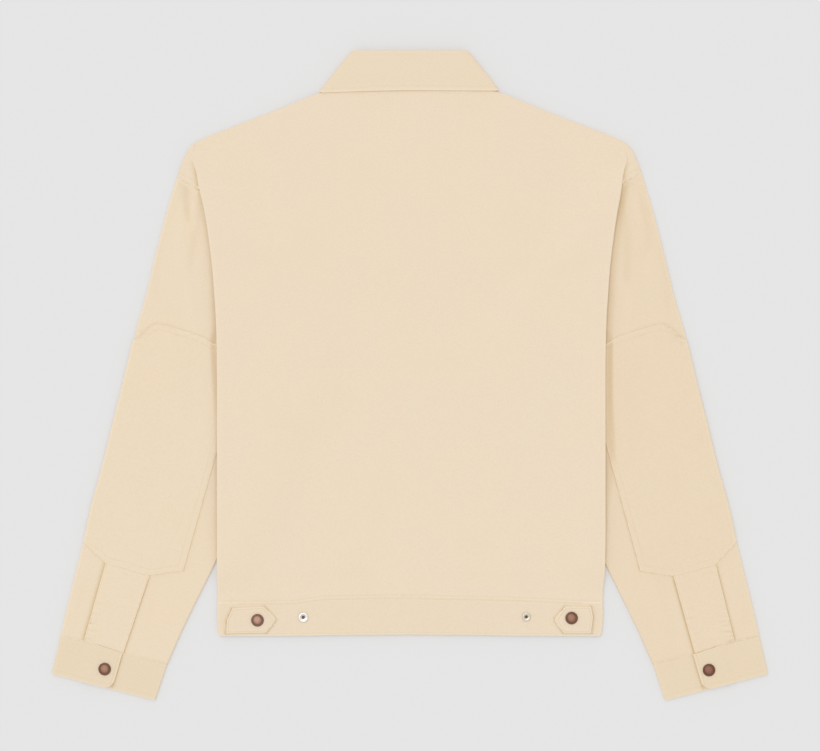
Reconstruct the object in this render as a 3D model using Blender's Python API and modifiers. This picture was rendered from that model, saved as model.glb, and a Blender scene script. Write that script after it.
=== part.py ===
"""Trucker jacket laid flat, back up, with its sleeves tucked under the sides of the body.

X runs across from the centre line, +Y towards the collar and +Z up from the surface that it lies
on.  Sizes below are in millimetres.  A place is written as (across, down): the distance from the
centre line, and the distance below the top fold of the collar.
"""
import math

import bmesh
import bpy
import numpy as np

MM = 0.001
LENGTH = 780.0          # top fold of the collar to the lowest corner of the cuffs
SEAM = 0.3              # gap between neighbouring pieces
CLOTH = 1.2             # twill wall
BAND = 1.6              # waistband and tabs, cloth folded double
CUFF = 2.0              # cuff, folded double over its stiffener
COLLAR = 2.0            # collar, folded double over its stiffener

# Layers, as heights above the surface.
BACK_TOP = 5.2          # back panel down the middle
SLEEVE_TOP = 4.4        # flattened sleeve
CAP_TOP = 2.9           # flattened sleeve where it joins the shoulder
TUCK_RISE = 6.3         # underside of the fronts where a sleeve and its patch lie under them
TUCK_SHARE = 0.75       # part of that rise which the back panel takes up
NECK_RISE = 2.4         # underside of the fronts over the collar leaves
NECK_SHARE = 1.5        # rise of the back panel at the neck
SNAP_RISE = 0.9         # underside of the front edge over its snap caps
LAP_RISE = 1.5          # right front over left front
BAND_BACK = 3.8         # underside of the back stretch of the waistband
BAND_LAP = 1.9          # waistband, right over left
EDGE = 2.4              # width of a rolled edge

# Rise of the fronts at the sides of the body, over the tucked sleeves.
TUCK_ROWS = (
    # down, height
    (140.0, 0.0), (158.0, 1.4), (167.0, 3.4), (230.0, 5.2), (325.0, TUCK_RISE),
    (615.0, TUCK_RISE), (650.0, 0.0),
)
# Half width of the outside edge: shoulder slope, tip, then the outer edge of the sleeve.
OUTLINE = (
    # down, across
    (109.8, 257.3), (117.0, 265.4), (124.2, 269.4), (131.4, 272.6), (138.6, 275.5),
    (152.4, 280.0), (167.4, 284.6), (196.2, 293.0), (246.6, 305.9), (297.0, 318.0),
    (347.4, 332.8), (397.8, 345.0), (448.2, 357.7), (498.6, 370.1), (549.0, 383.8),
    (588.6, 392.4), (616.2, 398.9), (666.6, 411.4), (701.4, 419.4),
)
# Neck point to shoulder tip.
SHOULDER = (
    # across, down
    (84.0, 41.5), (106.0, 49.8), (115.3, 53.0), (149.0, 66.6), (185.4, 81.0),
    (223.2, 95.4), (241.2, 102.6), (257.3, 109.8),
)
# Side fold of the body.
FOLD = (
    # down, across
    (109.8, 257.3), (132.0, 261.0), (143.4, 257.4), (166.2, 253.2), (183.0, 249.0),
    (216.6, 243.0), (271.8, 236.4), (345.0, 232.2), (400.0, 231.6), (662.0, 231.6),
    (683.4, 232.2), (692.0, 231.4), (698.0, 229.4), (702.0, 225.0),
)
# Inner edge of the sleeve, mostly under the body, from the underarm to the cuff.
SLEEVE_INNER = (
    # down, across
    (359.4, 135.6), (395.4, 141.6), (449.4, 158.4), (503.4, 180.0), (558.6, 206.4),
    (621.0, 236.4), (666.6, 259.2), (700.2, 275.4), (733.8, 291.0),
)
# Armhole seam, from the underarm to the outside edge.
ARMHOLE = (
    # across, down
    (135.6, 359.4), (150.0, 323.4), (192.0, 263.4), (235.0, 203.4), (254.4, 167.4),
    (261.0, 162.6), (269.4, 157.8), (280.0, 152.4),
)
# Seam between the body and its waistband: it arches up across the middle of the back.
WAIST_SEAM = (
    # across, down
    (0.0, 651.8), (78.0, 651.9), (114.0, 655.6), (140.0, 659.8), (190.0, 660.6), (232.0, 661.2),
)
HEM = (
    # across, down
    (0.0, 700.8), (84.0, 701.4), (132.0, 702.2), (232.0, 702.6),
)
# Shoulder piece of the body outside its side fold: the ends of its rows on the fold and outside.
SHOULDER_ROWS = (
    # down on the fold, down outside, across outside, height of the back, on the armhole seam
    (118.0, 119.0, 266.5, 5.1, 0), (126.0, 131.0, 272.4, 4.9, 0), (134.0, 142.0, 276.6, 4.6, 0),
    (142.0, 152.0, 279.8, 4.3, 0), (150.0, 157.5, 269.4, 4.2, 1), (158.0, 162.2, 261.0, 4.2, 1),
)
# Elbow patch.
PATCH_TOP = (
    # across, down
    (204.0, 353.4), (236.4, 351.7), (248.4, 343.9), (273.6, 335.9), (290.0, 330.4),
    (301.0, 328.3), (308.0, 329.0), (317.6, 336.6), (325.6, 345.0), (332.8, 347.4),
)
PATCH_INNER = ((204.0, 353.4), (231.6, 475.8), (256.2, 563.4), (275.4, 624.2))
PATCH_FOOT = ((275.4, 624.2), (314.4, 630.2), (366.0, 615.6), (392.4, 588.6))
# Sleeve placket, its long edges from the elbow patch to the cuff.
PLACKET_INNER = ((313.9, 631.2), (344.0, 722.4))
PLACKET_OUTER = ((365.6, 616.4), (390.9, 706.4))
# Cuff: its four corners, and the share of its width where it laps over itself.
CUFF_SEAM = ((419.4, 701.9), (391.0, 708.2), (345.0, 723.8), (291.0, 735.2))
CUFF_EDGE = ((430.0, 748.2), (306.0, 780.0))
CUFF_LAP = {"left": 0.56, "right": 0.61}
CUFF_UNDERLAP = 0.2     # share of the cuff's width that is tucked under the lap
CUFF_UPPER = 3.6        # middles of the cuff's layers: the upper one, the end tucked under the
CUFF_TUCKED = 3.4       # lap, and the lap
CUFF_OVER = 5.7
# Collar: corners of the fall on the back, and the points of its leaves under the fronts.
FOLD_CORNER = (69.6, 0.0)
FALL_CORNER = (106.2, 47.4)
FALL_CENTRE = 48.4
LEAF_POINT = (72.0, 193.8)
LEAF_FRONT = (14.0, 119.4)
NECK_SEAM = ((84.0, 38.0), (60.0, 92.0), (30.0, 121.0), (14.0, 130.0))
NECK_BACK = 31.0
COLLAR_MID = 4.65       # height of the collar's middle between its four layers
FALL_OUT = 3.65         # middle of the fall from that height
STAND_OUT = 1.25        # middle of the stand from that height
FOLD_OUT = 2.45         # where fall and stand meet

FRONT_LAP = 18.0        # half the lap of the fronts
FRONT_SNAPS = (165.0, 250.0, 335.0, 420.0, 505.0, 590.0)
SNAP_RADIUS = 7.5
SNAP_HEIGHT = 1.9
FLAT_SNAP_HEIGHT = 0.7  # front snaps, under the front edge
STUD_RADIUS = 5.7
STUD_HOLE = 2.1
STUD_HEIGHT = 1.8
WAIST_SNAPS = {"left": (-182.9, 683.5), "right": (193.8, 680.9)}
SPARE_STUDS = {"left": (-128.0, 680.2), "right": (139.6, 679.7)}
CUFF_SNAPS = {"left": (-366.2, 742.1), "right": (358.6, 743.3)}
TABS = {
    # corners (across, down) from the base at the side, round the pointed tip
    "left": ((-218.5, 669.2), (-175.2, 667.0), (-160.8, 683.0), (-171.4, 699.0), (-218.5, 700.4)),
    "right": ((217.5, 667.2), (186.5, 666.8), (174.0, 683.0), (184.6, 699.8), (217.5, 699.6)),
}

CREAM = (0.83, 0.70, 0.53)
COPPER = (0.28, 0.14, 0.10)
STEEL = (0.62, 0.61, 0.60)


def clear_scene():
    for item in list(bpy.data.objects):
        bpy.data.objects.remove(item, do_unlink=True)


def material(name, colour, roughness, metallic):
    made = bpy.data.materials.new(name)
    made.use_nodes = True
    shader = made.node_tree.nodes["Principled BSDF"]
    shader.inputs["Base Color"].default_value = (*colour, 1.0)
    shader.inputs["Roughness"].default_value = roughness
    shader.inputs["Metallic"].default_value = metallic
    return made


def smooth(value, low, high):
    share = min(1.0, max(0.0, (value - low) / (high - low)))
    return share * share * (3.0 - 2.0 * share)


def read(table, value):
    """The second column of a table at a value of its first."""
    return float(np.interp(value, [row[0] for row in table], [row[1] for row in table]))


def along(points, share):
    """The place at a share of the length of a line through points."""
    points = np.array(points, float)
    steps = np.concatenate(([0.0], np.cumsum(np.hypot(*np.diff(points, axis=0).T))))
    return np.array([np.interp(share * steps[-1], steps, points[:, k]) for k in (0, 1)])


def world(across, down, height):
    return (across * MM, (LENGTH / 2 - down) * MM, height * MM)


# Heights of the layers.

def sleeve_start(down):
    """Across, where the sleeve under the body begins at a place down."""
    if down > SLEEVE_INNER[0][0]:
        return read(SLEEVE_INNER, down)
    line = sorted((row[1], row[0]) for row in ARMHOLE)
    return read(line, down)


def tuck(across, down):
    """Rise of the fronts over the tucked sleeve."""
    full = read(TUCK_ROWS, down)
    edge = sleeve_start(down)
    return full * smooth(abs(across), edge - 76.0, edge - 16.0)


def neck(across, down, reach):
    """1 over the collar leaves, down to 0 around them; reach widens it."""
    return (smooth(-down, -238.0 - 2 * reach, -206.0 - reach)
            * smooth(-abs(across), -142.0 - reach, -112.0 - reach))


def back_height(across, down):
    return BACK_TOP + max(TUCK_SHARE * tuck(across, down), NECK_SHARE * neck(across, down, 36.0))


def front_height(across, down, side):
    """Underside of the fronts; side is -1 for the left front, which laps under the right."""
    low = max(tuck(across, down), NECK_RISE * neck(across, down, 14.0),
              SNAP_RISE * smooth(-abs(across), -48.0, -24.0))
    if side > 0:
        low += LAP_RISE * smooth(-across, -52.0, -24.0)
    return low


def sleeve_height(down):
    return CAP_TOP + (SLEEVE_TOP - CAP_TOP) * smooth(down, 165.0, 235.0)


# A rolled edge, from the flat of the panel to its seam at mid height.
ROLL = (
    # distance inward, share of the way down to the seam
    (EDGE, 0.0), (0.7, 0.29), (0.05, 0.7), (0.0, 1.0),
)


# Building blocks.

def add(name, points, faces, thickness, offset, finish, collection):
    """A sheet of cloth from an open surface, with its thickness from Solidify."""
    mesh = bpy.data.meshes.new(name)
    mesh.from_pydata([world(*point) for point in points], [], faces)
    mesh.materials.append(finish)
    mesh.shade_smooth()
    piece = bpy.data.objects.new(name, mesh)
    collection.objects.link(piece)
    wall = piece.modifiers.new("wall", "SOLIDIFY")
    wall.thickness = thickness * MM
    wall.offset = offset
    return piece


def grid_faces(rows, columns, flip):
    faces = []
    for r in range(rows - 1):
        for c in range(columns - 1):
            a = r * columns + c
            quad = (a, a + columns, a + columns + 1, a + 1)
            faces.append(quad[::-1] if flip else quad)
    return faces


def grid(name, rows, thickness, offset, finish, collection, flip=False):
    points = [point for row in rows for point in row]
    faces = grid_faces(len(rows), len(rows[0]), flip)
    return add(name, points, faces, thickness, offset, finish, collection)


def coons(top, foot, inner, outer, s, t):
    """A place on the surface between four edges; s runs inner to outer, t top to foot."""
    across = (1 - t) * along(top, s) + t * along(foot, s)
    downward = (1 - s) * along(inner, t) + s * along(outer, t)
    corners = ((1 - s) * (1 - t) * along(top, 0) + s * (1 - t) * along(top, 1)
               + (1 - s) * t * along(foot, 0) + s * t * along(foot, 1))
    return across + downward - corners


# Body.

def body_top(across, neck_line):
    across = abs(across)
    if across >= SHOULDER[0][0]:
        return read(SHOULDER, across)
    return read(neck_line, across)


BACK_NECK = ((0.0, NECK_BACK + 2.0), (84.0, 41.5))
FRONT_NECK = ((0.0, 130.9), (14.0, 130.9), (30.0, 122.4), (60.0, 93.4), (84.0, 41.5))
TIP_DOWN = OUTLINE[0][0]
TIP_ACROSS = OUTLINE[0][1]
FOOT_DOWN = 661.0
SIDE_ROWS = tuple(row[0] for row in SHOULDER_ROWS) + (
    166.5, 185.0, 210.0, 240.0, 280.0, 330.0, 380.0, 430.0, 480.0, 530.0, 575.0, 615.0, 640.0,
    FOOT_DOWN)
OUTER_LEVELS = {row[0]: row[3] for row in SHOULDER_ROWS}
COLUMNS = (0.0, 14.0, 30.0, 60.0, 84.0, 106.0, 135.0, 165.0, 195.0, 228.0)


def columns_between(reach, first, last):
    """Across places of a row, with the share of the roll at each; None is a rolled side."""
    half = [(x * reach / TIP_ACROSS, 0.0) for x in COLUMNS]
    half += [(reach - inward, share) for inward, share in ROLL]
    full = [(-x, drop) for x, drop in reversed(half[1:])] + half
    if first is not None:
        full = [(first, 0.0)] + [place for place in full if place[0] > first + 3.0]
    if last is not None:
        full = [place for place in full if place[0] < last - 3.0] + [(last, 0.0)]
    return full


def body_rows(neck_line, first, last, surface, seam, outer_level):
    """Rows of a body panel from one edge to the other, with its shoulder and sides rolled."""
    stations = [(inward, drop, True) for inward, drop in reversed(ROLL)]
    stations += [(down, 0.0, False) for down in SIDE_ROWS]
    rows = []
    for value, edge_drop, at_edge in stations:
        side_down = TIP_DOWN + value if at_edge else value
        reach = read(FOLD, side_down)
        row = []
        for across, side_drop in columns_between(reach, first, last):
            at_tip = abs(across) * TIP_ACROSS / reach
            shoulder = at_tip >= SHOULDER[0][0] - 0.01
            top = read(SHOULDER if shoulder else neck_line, at_tip)
            foot = read(WAIST_SEAM, abs(across)) - SEAM
            down = top + value
            drop = max(side_drop, edge_drop) if shoulder else 0.0
            if not at_edge:
                down = top + (foot - top) * (value - TIP_DOWN) / (FOOT_DOWN - TIP_DOWN)
                drop = side_drop
            elif not shoulder:
                down = top + value * 0.5 + (1.0 - edge_drop) * 0.3
            level = surface(across, down)
            target = seam(across, down)
            if value in OUTER_LEVELS and not at_edge:
                target = outer_level(OUTER_LEVELS[value])
            row.append((across, down, level + (target - level) * drop))
        rows.append(row)
    return rows


def seam_level(across, down, facing):
    """Height of a panel's seam at a rolled edge; facing is 1 on the back, -1 on the fronts.

    The seam opens a little at both ends of the side fold, where the walls twist.
    """
    middle = (back_height(across, down) + front_height(across, down, -1)) / 2
    gap = SEAM / 2 + 0.7 * smooth(-abs(down - 168.0), -12.0, 0.0)
    if abs(across) > 240.0:
        gap += 0.4 * smooth(-abs(down - TIP_DOWN), -8.0, 0.0)
    return middle + facing * gap


def shoulder_piece(points, columns, column, sign, level_at, mid, flip):
    """Adds the part of a panel that reaches past its side fold at the shoulder."""
    first = len(ROLL)
    inner = [(first + k) * columns + column for k in range(len(SHOULDER_ROWS))]
    start = (first - 1) * columns + column
    finish = (first + len(SHOULDER_ROWS)) * columns + column
    added = []
    for k, (_, down_out, across_out, height, on_seam) in enumerate(SHOULDER_ROWS):
        corner = np.array(points[inner[k]][:2])
        span = np.array((sign * across_out, down_out)) - corner
        level = level_at(height)
        line = [inner[k]]
        for inward, drop in ROLL:
            place = corner + span * (1.0 - inward / np.hypot(*span))
            if on_seam:
                place = corner + span * (1.0 - inward / EDGE * 0.5)
                drop = 0.0
            points.append((*place, level + (mid - level) * drop))
            line.append(len(points) - 1)
        added.append(line)
    faces = []
    for upper, lower in zip(added, added[1:]):
        for c in range(len(ROLL)):
            faces.append((upper[c], lower[c], lower[c + 1], upper[c + 1]))
    for c in range(len(ROLL)):
        faces.append((start, added[0][c], added[0][c + 1]))
        faces.append((finish, added[-1][c + 1], added[-1][c]))
    if flip:
        faces = [face[::-1] for face in faces]
    return faces


WEDGE_MID = 2.1         # seam of the shoulder pieces at the outside edge


def make_back(finish, collection):
    rows = body_rows(BACK_NECK, None, None, back_height,
                     lambda across, down: seam_level(across, down, 1), float)
    points = [point for row in rows for point in row]
    columns = len(rows[0])
    faces = grid_faces(len(rows), columns, False)
    outer_seam = WEDGE_MID + SEAM
    faces += shoulder_piece(points, columns, columns - 1, 1, float, outer_seam, False)
    faces += shoulder_piece(points, columns, 0, -1, float, outer_seam, True)
    return add("back", points, faces, CLOTH, -1.0, finish, collection)


def make_front(name, side, finish, collection):
    ends = (None, FRONT_LAP) if side < 0 else (-FRONT_LAP, None)
    rows = body_rows(FRONT_NECK, *ends, lambda across, down: front_height(across, down, side),
                     lambda across, down: seam_level(across, down, -1), lambda height: 0.0)
    points = [point for row in rows for point in row]
    columns = len(rows[0])
    faces = grid_faces(len(rows), columns, True)
    column = 0 if side < 0 else columns - 1
    faces += shoulder_piece(points, columns, column, side, lambda height: 0.0,
                            WEDGE_MID - SEAM, side > 0)
    return add(name, points, faces, CLOTH, -1.0, finish, collection)


def band_rows(first, last, level, seam):
    """Rows of a stretch of waistband between two across places; None is a rolled side."""
    rows = []
    for share in (0.0, 0.3, 0.6, 0.85, 1.0):
        row = []
        reach = read(FOLD, 662.0 + share * 40.0)
        for across, drop in columns_between(reach, first, last):
            top = read(WAIST_SEAM, abs(across)) + SEAM
            foot = read(HEM, abs(across))
            height = level(across)
            row.append((across, top + (foot - top) * share, height + (seam - height) * drop))
        rows.append(row)
    return rows


def make_waistband(finish, collection):
    top = BAND_BACK + BAND
    above, below = (top + SEAM) / 2, (top - SEAM) / 2

    def lapped(across):
        return BAND_LAP * smooth(-across, -52.0, -24.0)
    back = band_rows(None, None, lambda across: top, above)
    left = band_rows(None, FRONT_LAP, lambda across: 0.0, below)
    right = band_rows(-FRONT_LAP, None, lapped, below)
    grid("waistband_back", back, BAND, -1.0, finish, collection)
    grid("waistband_left", left, BAND, -1.0, finish, collection, flip=True)
    grid("waistband_right", right, BAND, -1.0, finish, collection, flip=True)


# Sleeves.

SLEEVE_SHARES = (0.2, 0.42, 0.6, 0.725, 0.884, 0.953)
SLEEVE_ROWS = 15
PATCH_INSET = 1.9       # outer edge of the sleeve inside its patch


def sleeve_outer():
    line = []
    for down in np.linspace(ARMHOLE[-1][1], OUTLINE[-1][0] - SEAM, 40):
        inset = PATCH_INSET * smooth(down, 315.0, 345.0) * smooth(-down, -630.0, -595.0)
        line.append((read(OUTLINE, down) - inset, down))
    return line


def toward(place_at, edge, other, inward):
    """The place at a distance inward from one end of a row."""
    start = place_at(edge)
    step = place_at(edge + (other - edge) * 0.03) - start
    return start + step / np.hypot(*step) * inward


def make_sleeve(side, sign, finish, collection):
    outer = sleeve_outer()
    foot = [(x, d - 0.8) for x, d in reversed(CUFF_SEAM)]
    inner = [(x, d) for d, x in SLEEVE_INNER[:-1]] + [foot[0]]
    top = [inner[0]] + [(x, d + SEAM) for x, d in ARMHOLE[1:-1]] + [outer[0]]
    foot[-1] = outer[-1]
    for layer in ("back", "front"):
        rows = []
        for t in np.linspace(0.0, 1.0, SLEEVE_ROWS + 1):
            def place_at(s):
                return coons(top, foot, inner, outer, s, t)
            row = [(toward(place_at, 0.0, 1.0, inward), drop) for inward, drop in reversed(ROLL)]
            row += [(place_at(s), 0.0) for s in SLEEVE_SHARES]
            row += [(toward(place_at, 1.0, 0.0, inward), drop) for inward, drop in ROLL]
            points = []
            for place, drop in row:
                high = sleeve_height(place[1])
                mid = high / 2
                if layer == "back":
                    height = high + (mid + SEAM / 2 - high) * drop
                else:
                    height = (mid - SEAM / 2) * drop
                points.append((sign * place[0], place[1], height))
            rows.append(points)
        flip = (layer == "front") != (sign < 0)
        grid(f"sleeve_{layer}_{side}", rows, CLOTH, -1.0, finish, collection, flip=flip)


PATCH_ROLL = 1.5        # the roll of the patch is this much wider than the sleeve's


def make_patch(side, sign, finish, collection):
    outer = [(read(OUTLINE, down), down) for down in np.linspace(347.4, 588.6, 16)]
    top = list(PATCH_TOP[:-1]) + [outer[0]]
    foot = list(PATCH_FOOT[:-1]) + [outer[-1]]
    low = SLEEVE_TOP / 2 + SEAM / 2
    rows = []
    for t in np.linspace(0.0, 1.0, 13):
        def place_at(s):
            return coons(top, foot, PATCH_INNER, outer, s, t)
        row = [(place_at(s), 0.0) for s in (0.0, 0.2, 0.4, 0.6, 0.8, 0.92)]
        row += [(toward(place_at, 1.0, 0.0, inward * PATCH_ROLL), drop) for inward, drop in ROLL]
        points = []
        for place, drop in row:
            high = sleeve_height(place[1]) + SEAM + CLOTH
            points.append((sign * place[0], place[1], high + (low - high) * drop))
        rows.append(points)
    grid(f"elbow_patch_{side}", rows, CLOTH, -1.0, finish, collection, flip=sign < 0)


def make_placket(side, sign, finish, collection):
    rows = []
    for t in np.linspace(0.0, 1.0, 7):
        row = []
        for s in (0.0, 0.33, 0.67, 1.0):
            place = (1 - s) * along(PLACKET_INNER, t) + s * along(PLACKET_OUTER, t)
            row.append((sign * place[0], place[1], SLEEVE_TOP + SEAM + CLOTH))
        rows.append(row)
    grid(f"sleeve_placket_{side}", rows, CLOTH, -1.0, finish, collection, flip=sign < 0)


def make_cuff(side, sign, finish, collection):
    """One strip: from the lap on top, round the outer edge, under, and back up beneath the lap."""
    half = CUFF / 2
    width = math.dist(*CUFF_EDGE)
    lap = CUFF_LAP[side]
    low, upper, tucked, over = half, CUFF_UPPER, CUFF_TUCKED, CUFF_OVER
    lap_end = lap - CUFF_UNDERLAP
    path = [(lap, over, 0.78), (lap - 0.015, over, 0.92), (lap - 0.05, over, 1.0),
            (lap_end - 0.02, over, 1.0), (lap_end - 0.09, (over + upper) / 2, 1.0),
            (lap_end - 0.15, upper, 1.0), (0.1, upper, 1.0)]
    for edge, start, finish_z, turn in ((0.0, upper, low, 1), (1.0, low, tucked, -1)):
        radius = abs(finish_z - start) / 2
        middle = (start + finish_z) / 2
        for degrees in (90, 54, 18, -18, -54, -90):
            angle = math.radians(degrees) * (1 if start > finish_z else -1)
            reach = (half + radius * (1 - math.cos(angle))) / width
            path.append((edge + reach * turn, middle + radius * math.sin(angle), 1.0))
        if edge == 0.0:
            path += [(0.3, low, 1.0), (0.5, low, 1.0), (0.7, low, 1.0)]
    path += [(0.85, tucked, 1.0), (lap + 0.02, tucked, 1.0), (lap_end + 0.01, tucked, 1.0)]
    rows = []
    for v in (0.0, 0.35, 0.7, 1.0):
        row = []
        for u, height, foot in path:
            top = along(CUFF_SEAM, u)
            edge = np.array(CUFF_EDGE[0]) + (np.array(CUFF_EDGE[1]) - CUFF_EDGE[0]) * u
            place = top + (edge - top) * v * foot
            row.append((sign * place[0], place[1], height))
        rows.append(row)
    grid(f"cuff_{side}", rows, CUFF, 0.0, finish, collection)


# Collar.

def collar_stations(outer_corner, outer_front, outer_centre):
    """Sections of a collar strip from the left front, round the neck, to the right front.

    Each is (place on the fold line, place on the outer edge, turn, way out of the side roll):
    turn is 90 degrees on the back and -90 in front, with the sides of the collar between.
    """
    slant = np.array(FALL_CORNER) - FOLD_CORNER
    normal = np.array((slant[1], -slant[0])) / np.hypot(*slant)
    shift = normal * (FALL_OUT + COLLAR / 2)
    corner_in = np.array(FOLD_CORNER) - shift
    rim = COLLAR / 2
    corner_out = np.array((outer_corner[0] - shift[0], outer_corner[1]))
    front_in = np.array(LEAF_FRONT)
    right = []
    for share in (0.2, 0.6, 0.94):
        sag = outer_centre + (corner_out[1] - outer_centre) * share
        right.append((np.array((corner_in[0] * share, rim)),
                      np.array((corner_out[0] * share, sag)), 90.0, normal))
    right.append((corner_in, corner_out, 90.0, normal))
    for turn in (60.0, 30.0, 0.0, -30.0, -60.0):
        right.append((corner_in, corner_out, turn, normal))
    outer = [corner_out] + [np.array(place) for place in outer_front]
    for k, place_out in enumerate(outer):
        share = k / (len(outer) - 1)
        right.append((corner_in + (front_in - corner_in) * share, place_out, -90.0, normal))
    mirror = np.array((-1, 1))
    left = [(near * mirror, far * mirror, turn, way * mirror) for near, far, turn, way in right]
    return left[::-1] + right


def collar_strip(name, stations, out, finish, collection):
    """A strip between the fold line and its outer edge, rolled to its seam at the fold line."""
    to_seam = math.copysign(1.0, out - FOLD_OUT)
    edge = FOLD_OUT + to_seam * SEAM / 2
    sections = (
        # distance from the fold line, share of the width, distance from the collar's middle
        (0.0, 0.0, edge), (0.05, 0.0, edge + to_seam * 0.5), (1.4, 0.0, out), (0.0, 0.35, out),
        (0.0, 0.7, out), (0.0, 1.0, out))
    rows = []
    for distance, part, level in sections:
        row = []
        for near, far, turn, way in stations:
            span = far - near
            place = near + span * (part + distance / np.hypot(*span))
            place = place + way * level * math.cos(math.radians(turn))
            row.append((*place, COLLAR_MID + level * math.sin(math.radians(turn))))
        rows.append(row)
    grid(name, rows, COLLAR, 0.0, finish, collection)


def make_collar(finish, collection):
    leaf = [np.array(FALL_CORNER) + (np.array(LEAF_POINT) - FALL_CORNER) * share
            for share in (0.33, 0.67, 1.0)]
    fall = collar_stations(FALL_CORNER, leaf, FALL_CENTRE)
    collar_strip("collar_fall", fall, FALL_OUT, finish, collection)
    stand = collar_stations(NECK_SEAM[0], NECK_SEAM[1:], NECK_BACK)
    collar_strip("collar_stand", stand, STAND_OUT, finish, collection)


# Trims.

def turned(name, profile, place, height, finish, collection, upside_down=False, segments=20):
    """A round trim: a closed or axis-to-axis profile of (radius, height) turned about Z."""
    mesh = bpy.data.meshes.new(name)
    count = len(profile)
    closed = profile[0][0] > 0.0
    edges = [(k, (k + 1) % count) for k in range(count if closed else count - 1)]
    mesh.from_pydata([(r * MM, 0.0, z * MM) for r, z in profile], edges, [])
    mesh.materials.append(finish)
    piece = bpy.data.objects.new(name, mesh)
    piece.location = world(*place, height)
    if upside_down:
        piece.rotation_euler = (math.pi, 0.0, 0.0)
    collection.objects.link(piece)
    screw = piece.modifiers.new("turn", "SCREW")
    screw.steps = segments
    screw.render_steps = segments
    screw.use_merge_vertices = True
    screw.merge_threshold = 0.00001
    screw.use_smooth_shade = True
    return piece


def cap_profile(radius, height):
    return ((0.0, height), (radius * 0.55, height * 0.93), (radius * 0.87, height * 0.68),
            (radius, height * 0.3), (radius, 0.0), (0.0, 0.0))


def ring_profile(outer, hole, height):
    return ((outer, 0.0), (hole, 0.0), (hole, height * 0.55), (hole + 0.7, height),
            (outer - 1.2, height), (outer, height * 0.5))


def make_tab(side, corners, finish, collection):
    """A pointed tab on the waistband, one double ply thick."""
    mesh = bpy.data.meshes.new(f"waist_tab_{side}")
    height = BAND_BACK + BAND + SEAM
    points = [world(x, d, height) for x, d in corners]
    built = bmesh.new()
    verts = [built.verts.new(point) for point in points]
    face = built.faces.new(verts if side == "right" else verts[::-1])
    face.normal_update()
    if face.normal.z < 0:
        face.normal_flip()
    built.to_mesh(mesh)
    built.free()
    mesh.materials.append(finish)
    piece = bpy.data.objects.new(f"waist_tab_{side}", mesh)
    collection.objects.link(piece)
    wall = piece.modifiers.new("wall", "SOLIDIFY")
    wall.thickness = BAND * MM
    wall.offset = 1.0
    return piece


def make_trims(copper, steel, collection):
    band_top = BAND_BACK + BAND
    cap = cap_profile(SNAP_RADIUS, SNAP_HEIGHT)
    for side, place in WAIST_SNAPS.items():
        turned(f"waist_snap_{side}", cap, place, band_top + BAND + 2 * SEAM, copper, collection)
    for side, place in SPARE_STUDS.items():
        turned(f"waist_stud_{side}", ring_profile(STUD_RADIUS, STUD_HOLE, STUD_HEIGHT), place,
               band_top + SEAM, steel, collection)
    for side, place in CUFF_SNAPS.items():
        turned(f"cuff_snap_{side}", cap, place, CUFF_OVER + CUFF / 2 + SEAM, copper,
               collection)
    flat_cap = cap_profile(SNAP_RADIUS, FLAT_SNAP_HEIGHT)
    for number, down in enumerate(FRONT_SNAPS, 1):
        low = front_height(0.0, down, -1) - 0.15
        turned(f"front_snap_{number}", flat_cap, (0.0, down), low, copper, collection,
               upside_down=True, segments=16)


def main():
    clear_scene()
    collection = bpy.data.collections.new("trucker_jacket")
    bpy.context.scene.collection.children.link(collection)

    def twill(name):
        return material(name, CREAM, 0.9, 0.0)
    make_back(twill("back_twill"), collection)
    make_front("front_left", -1, twill("front_left_twill"), collection)
    make_front("front_right", 1, twill("front_right_twill"), collection)
    make_waistband(twill("waistband_twill"), collection)
    make_collar(twill("collar_twill"), collection)
    for side, sign in (("left", -1), ("right", 1)):
        make_sleeve(side, sign, twill(f"sleeve_{side}_twill"), collection)
        make_patch(side, sign, twill(f"patch_{side}_twill"), collection)
        make_placket(side, sign, twill(f"placket_{side}_twill"), collection)
        make_cuff(side, sign, twill(f"cuff_{side}_twill"), collection)
        make_tab(side, TABS[side], twill(f"tab_{side}_twill"), collection)
    make_trims(material("copper", COPPER, 0.45, 0.8), material("steel", STEEL, 0.35, 0.9),
               collection)


main()
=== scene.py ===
"""Trucker jacket laid flat with its back up: its cloth, sewing, snaps, floor, light and camera.

X runs across, +Y towards the collar and +Z up.  Sizes in the tables are in millimetres.  A place is
written as (across, down): across from the centre line, down from the top fold of the collar.
"""
import math

import bpy
import numpy as np
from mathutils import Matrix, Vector
from mathutils.bvhtree import BVHTree

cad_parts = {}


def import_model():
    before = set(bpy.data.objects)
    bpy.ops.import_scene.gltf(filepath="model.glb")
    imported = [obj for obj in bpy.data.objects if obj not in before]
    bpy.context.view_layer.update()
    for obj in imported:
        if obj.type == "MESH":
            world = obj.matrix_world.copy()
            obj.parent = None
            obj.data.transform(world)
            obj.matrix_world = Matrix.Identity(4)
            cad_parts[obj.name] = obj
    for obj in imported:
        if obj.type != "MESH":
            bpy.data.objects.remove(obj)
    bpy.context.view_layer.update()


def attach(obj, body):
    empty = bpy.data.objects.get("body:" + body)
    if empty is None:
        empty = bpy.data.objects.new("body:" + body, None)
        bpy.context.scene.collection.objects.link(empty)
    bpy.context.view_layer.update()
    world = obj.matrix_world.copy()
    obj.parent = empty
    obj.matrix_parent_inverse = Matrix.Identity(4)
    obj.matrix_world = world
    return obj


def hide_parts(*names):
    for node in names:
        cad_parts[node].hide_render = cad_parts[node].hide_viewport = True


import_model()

MM = 0.001
LENGTH = 780.0                  # from the collar's fold to the cuffs' lowest corners
SEAM = 0.3                      # gap between pieces
CLOTH, BAND, CUFF, COLLAR = 1.2, 1.6, 2.0, 2.0      # walls
BACK_TOP, SLEEVE_TOP, CAP_TOP = 5.2, 4.4, 2.9       # heights of the layers
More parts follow.
